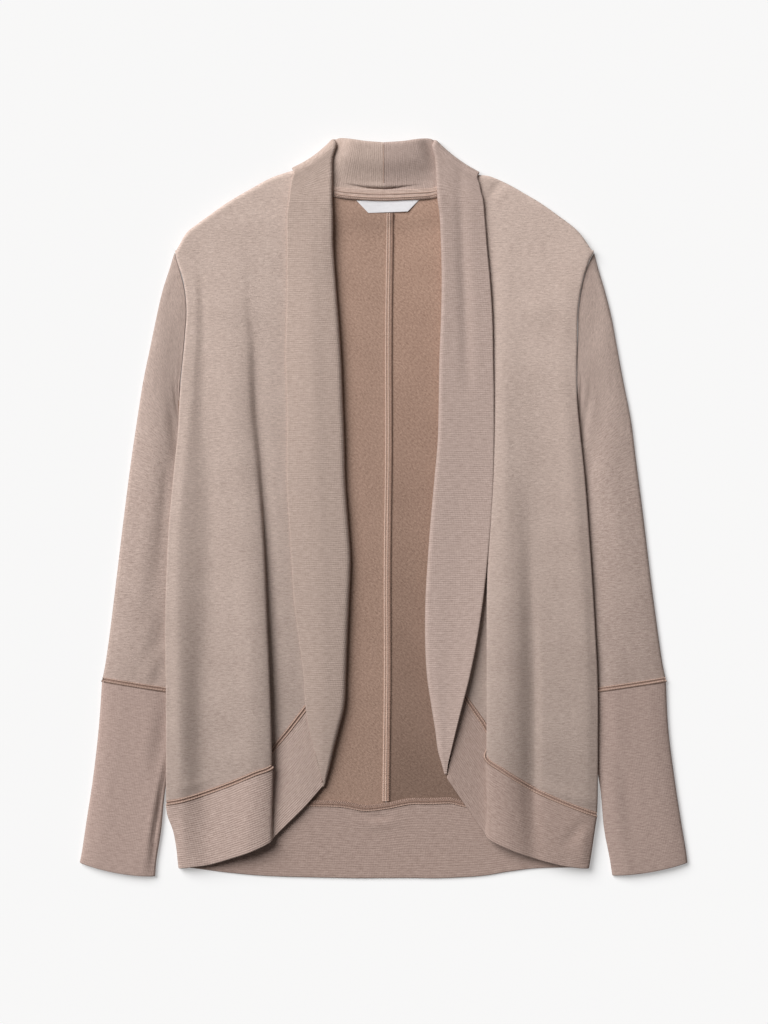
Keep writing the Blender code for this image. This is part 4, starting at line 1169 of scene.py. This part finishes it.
label_satin = cloth_finish("label_satin", rib_effect, (250, 248, 250), (238, 236, 239), 0.15,
                           Pitch=0.7)
fill(label_satin.node_tree.nodes["Principled BSDF"], Roughness=0.6)
a, b, c, d = np.array([(*corner, LABEL_HEIGHT) for corner in LABEL_CORNERS])
rows = [[(a + (b - a) * t) * (1 - w) + (c + (d - c) * t) * w for t in (0, 0.25, 0.5, 0.75, 1)]
        for w in (0.0, 0.35, 0.7, 1.0)]
grid = loft(rows, "right", 1.2)
grid[..., 2] += 0.5 * np.sin((grid[..., 0] - 4) / 11) * (307 - grid[..., 1]) / 12
label = sewn("woven_label", grid, LABEL, [label_satin])
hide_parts("label")

# Seams: two rows of peach thread over a narrow flattened allowance where the hem bands and
# cuffs are sewn on, and overlocked allowances down the middle of the back and at its hem.
# Every stitch is a short raised length of thread.
UP = (0.0, 0.0, 1.0)
THREAD_SIDES = 6
COVERSTITCH = ((-2.9, -0.1), (-2.7, 0.75), (-1.9, 1.05), (-1.0, 1.05), (-0.5, 0.8), (0.0, 0.7),
               (0.5, 0.85), (1.0, 1.35), (1.9, 1.45), (2.7, 1.15), (2.9, 0.1))
BACK_ALLOWANCE = ((-3.9, -0.1), (-3.7, 0.5), (-2.8, 0.95), (0.0, 1.05), (2.4, 1.15),
                  (3.2, 0.95), (3.5, -0.1))
HEM_ALLOWANCE = ((-3.4, -0.8), (-3.2, 0.2), (-2.0, 0.9), (0.0, 1.1), (2.0, 1.15), (3.0, 0.8),
                 (3.3, -0.2))
# How far either row of a coverstitch lies from its seam, and the length of its stitches.
ROW = 1.45
STITCH = 2.6


def passed_along(path):
    return np.insert(np.cumsum(np.linalg.norm(np.diff(path, axis=0), axis=1)), 0, 0)


def tube(name, rings, across, along_it, material):
    """A closed section carried along a seam; across and along_it are its map."""
    rows, cols = rings.shape[:2]
    index = np.arange(rows * cols).reshape(rows, cols)
    walls = cells(np.concatenate([index, index[:, :1]], axis=1)).reshape(-1, 4)
    ends = [index[0], index[-1, ::-1]]
    place = np.stack([np.tile(across, rows), np.repeat(along_it, cols)], axis=1)
    faces = walls.tolist() + [end.tolist() for end in ends]
    corners = place[np.concatenate([walls.ravel(), *ends])]
    piece = meshed(name, rings.reshape(-1, 3), faces, corners, [material])


def allowance_strip(name, middle, over, up, profile, material):
    """A flattened seam allowance, its section given as out and up."""
    rings = np.stack([middle + over * out + up * high for out, high in profile], axis=1)
    tube(name, rings, [out for out, high in profile], passed_along(middle), material)


def run_of_thread(name, path, up, radius, pitch, material, swing=0.0, beat=2.4):
    """A row of stitches along a path; swing is how far an overlock's thread goes side to side."""
    path = finer(path[:, None, :], 0.45)[:, 0]
    ahead = heading(path, 0)
    side = np.cross(ahead, up)
    side /= np.linalg.norm(side, axis=1, keepdims=True)
    top = np.cross(side, ahead)
    gone = passed_along(path)
    path = path + side * (swing * np.sin(2 * pi * gone / beat))[:, None]
    thick = (radius * (0.45 + 0.55 * np.abs(np.sin(pi * gone / pitch)) ** 0.6))[:, None]
    angles = [2 * pi * k / THREAD_SIDES for k in range(THREAD_SIDES)]
    rings = np.stack([path + thick * (side * cos(a) + top * sin(a)) for a in angles], axis=1)
    tube(name, rings, 0.2 * np.arange(THREAD_SIDES), gone, material)


def seam_frame(pair, step, closed=False):
    """The middle of the gap between two edges, the way across it, and the way up from it."""
    pair = finer(pair, step, closed)
    middle = pair.mean(1)
    ahead = heading(middle, 0, closed)
    over = pair[:, 1] - pair[:, 0]
    over -= ahead * (over * ahead).sum(1, keepdims=True)
    over /= np.maximum(np.linalg.norm(over, axis=1, keepdims=True), 1e-6)
    return middle, over, np.cross(ahead, over)


# Thread: two plies twisted together, with a little fuzz.
thread_effect, given = effect("twisted thread")
tree = thread_effect
ply = split_place(tree, 1.0, 1.0)
twist = wave(tree, math(tree, "MULTIPLY_ADD", ply["X"], 1.2, ply["Y"]), 2 / 0.5)
fuzz = noise(tree, 1.4, 1.4)
# Painted shade: the grooves between the plies are coloured darker, following the twist.
finish_effect(tree, given, math(tree, "MULTIPLY_ADD", twist, 0.2, fuzz), twist)

peach_thread = cloth_finish("peach_thread", thread_effect, (214, 186, 171), (168, 136, 120),
                            0.08)
brown_thread = cloth_finish("overlock_thread", thread_effect, (180, 146, 128), (122, 94, 82),
                            0.08)
allowance = cloth_finish("seam_allowance", rib_effect, (168, 141, 128), (126, 101, 90), 0.3,
                         Pitch=1.2)

for side, sign in SIGN.items():
    edges = [np.array(row, float)[:-2] * (sign, 1, 1)
             for row in (front_points(side)[-1], hem_front_points(side)[0])]
    pair = creased(finer(np.stack(edges, axis=1), 1.5), FRONT_CREASES[side])
    middle, over, up = seam_frame(pair, 1.0)
    up *= np.sign(up[:, 2].mean())
    flat = np.clip((up[:, 2:] - 0.3) / 0.5, 0.05, 1)
    allowance_strip(f"hem_seam_{side}", middle, over * flat, up * flat, COVERSTITCH, allowance)
    ends = np.flatnonzero(np.diff(flat[:, 0] > 0.5)) + 1
    for number, run in enumerate(np.split(np.arange(len(middle)), ends)):
        if flat[run].mean() < 0.5 or len(run) < 6:
            continue
        for row, out, high in (("upper", -ROW, 1.15), ("lower", ROW, 1.55)):
            run_of_thread(f"hem_thread_{row}_{side}_{number}",
                          (middle + over * out + up * high)[run], UP, 0.75, STITCH, peach_thread)
    rings = [np.array(row, float) * (sign, 1, 1)
             for row in (tube_points(side, SLEEVE[side], CLOTH, True)[-1],
                         tube_points(side, CUFF[side], CUFF_RIB, False)[0])]
    middle, over, up = seam_frame(np.stack(rings, axis=1), 1.5, closed=True)
    up *= np.sign((up * (middle - middle.mean(0))).sum())
    shown = up[:, 2] > 0.3
    middle, over, up = middle[shown], over[shown], up[shown]
    allowance_strip(f"cuff_seam_{side}", middle, over, up, COVERSTITCH, allowance)
    for row, out, high in (("upper", -ROW, 1.1), ("lower", ROW, 1.3)):
        run_of_thread(f"cuff_thread_{row}_{side}", middle + over * out + up * high, up.mean(0),
                      0.7, STITCH, peach_thread)

stand = np.array(collar_points("left")[-1])[8:12] * (0, 1, 1)
run_of_thread("collar_centre_thread", stand + (0.2, 0, RIB / 2 + 0.05), UP, 0.4, 2.2,
              peach_thread)


def overlocked(seam, middle, over, rows, profile=None, material=None):
    """An allowance and its rows of thread: name, out, up, radius, stitch, thread and swing."""
    if profile:
        allowance_strip(f"{seam}_seam", middle, np.array(over, float), np.array(UP), profile,
                        material)
    for row, out, high, radius, pitch, thread, *swing in rows:
        path = middle + np.array(over) * out + (0, 0, high)
        run_of_thread(f"{seam}_{row}", path, UP, radius, pitch, thread, *swing)


y = np.linspace(295.0, -293.0, 300)
x = 6.3 - 3.4 * (306 - y) / 600 + 0.35 * np.sin(y / 37.0)
z = [1.35 + 2.9 * (1 - ease(16, 34, 310.5 - drop)) for drop in y]
back_allowance = cloth_finish("centre_back_allowance", nap_effect, (194, 163, 147),
                              (142, 114, 99), 0.5)
back_thread = cloth_finish("centre_back_thread", thread_effect, (240, 214, 198),
                           (190, 158, 142), 0.08)
overlocked("centre_back", np.stack([x, y, z], axis=1), (1, 0, 0),
           [("thread", -2.7, 0.95, 0.6, 2.2, back_thread),
            ("chain", -0.2, 1.1, 0.6, 2.2, back_thread),
            ("overlock", 2.5, 1.0, 0.5, 1.3, brown_thread, 1.1, 2.0)],
           BACK_ALLOWANCE, back_allowance)

x = np.linspace(-185.0, 185.0, 190)
y = np.array([along(BACK_HEM_SEAM, out) for out in x]) + 0.4 * np.sin(x / 9.0)
overlocked("back_hem", np.stack([x, y, np.full(len(x), 2.0)], axis=1), (0, -1, 0),
           [("thread", 2.4, 0.95, 0.65, 2.5, peach_thread),
            ("chain", 0.2, 1.1, 0.5, 2.5, brown_thread),
            ("overlock", -2.2, 0.8, 0.5, 1.4, peach_thread, 1.0, 2.0)],
           HEM_ALLOWANCE, allowance)

middle = np.array([tape_line(x, 0, 6.35, 1.0) for x in np.linspace(-52.0, 54.0, 90)])
overlocked("neck_tape", middle, (0, -1, 0),
           [("chain", -2.6, 0.1, 0.5, 2.0, peach_thread),
            ("lower_chain", 0.9, 0.1, 0.6, 2.0, peach_thread),
            ("overlock", 3.0, 0, 0.4, 1.3, brown_thread, 0.7, 1.8)])

# Studio: a plain pale floor of white acrylic that glows a little, as a lit shooting table
# does, one large soft light from the upper left, an even warm fill, and a long lens straight
# above.
HALF_FLOOR = 4
FRAME_HEIGHT = 1.024
CAMERA_HEIGHT = 4.0
FILM = 24.0
floor_shape = bpy.data.meshes.new("studio_floor")
corners = [(HALF_FLOOR * x, HALF_FLOOR * y, 0) for x, y in ((-1, -1), (1, -1), (1, 1), (-1, 1))]
floor_shape.from_pydata(corners, [], [(0, 1, 2, 3)])
floor = bpy.data.objects.new("studio_floor", floor_shape)
floor.location.z = -0.0002
bpy.context.scene.collection.objects.link(floor)
paper = bpy.data.materials.new("studio_paper")
paper.use_nodes = True
fill(paper.node_tree.nodes["Principled BSDF"], Base_Color=(0.62, 0.62, 0.62, 1), Roughness=1.0,
     Emission_Color=(1.0, 1.0, 1.0, 1), Emission_Strength=0.325, Specular_IOR_Level=0.0)
floor_shape.materials.append(paper)

key = bpy.data.objects.new("key_light", bpy.data.lights.new("key_light", "SUN"))
key.data.energy = 4.2
key.data.angle = radians(46)
key.rotation_euler = (radians(-30), radians(-42), 0)
bpy.context.scene.collection.objects.link(key)
world = bpy.data.worlds.new("studio")
world.use_nodes = True
fill(world.node_tree.nodes["Background"], Color=(1.0, 0.95, 0.92, 1), Strength=0.13)
bpy.context.scene.world = world
bpy.context.scene.view_settings.view_transform = "Standard"

lens = bpy.data.cameras.new("camera")
lens.sensor_fit = "VERTICAL"
lens.sensor_height = FILM
lens.lens = FILM * CAMERA_HEIGHT / FRAME_HEIGHT
camera = bpy.data.objects.new("camera", lens)
camera.location = (0.0005, -0.004, CAMERA_HEIGHT)
bpy.context.scene.collection.objects.link(camera)
bpy.context.scene.camera = camera

bpy.context.view_layer.update()
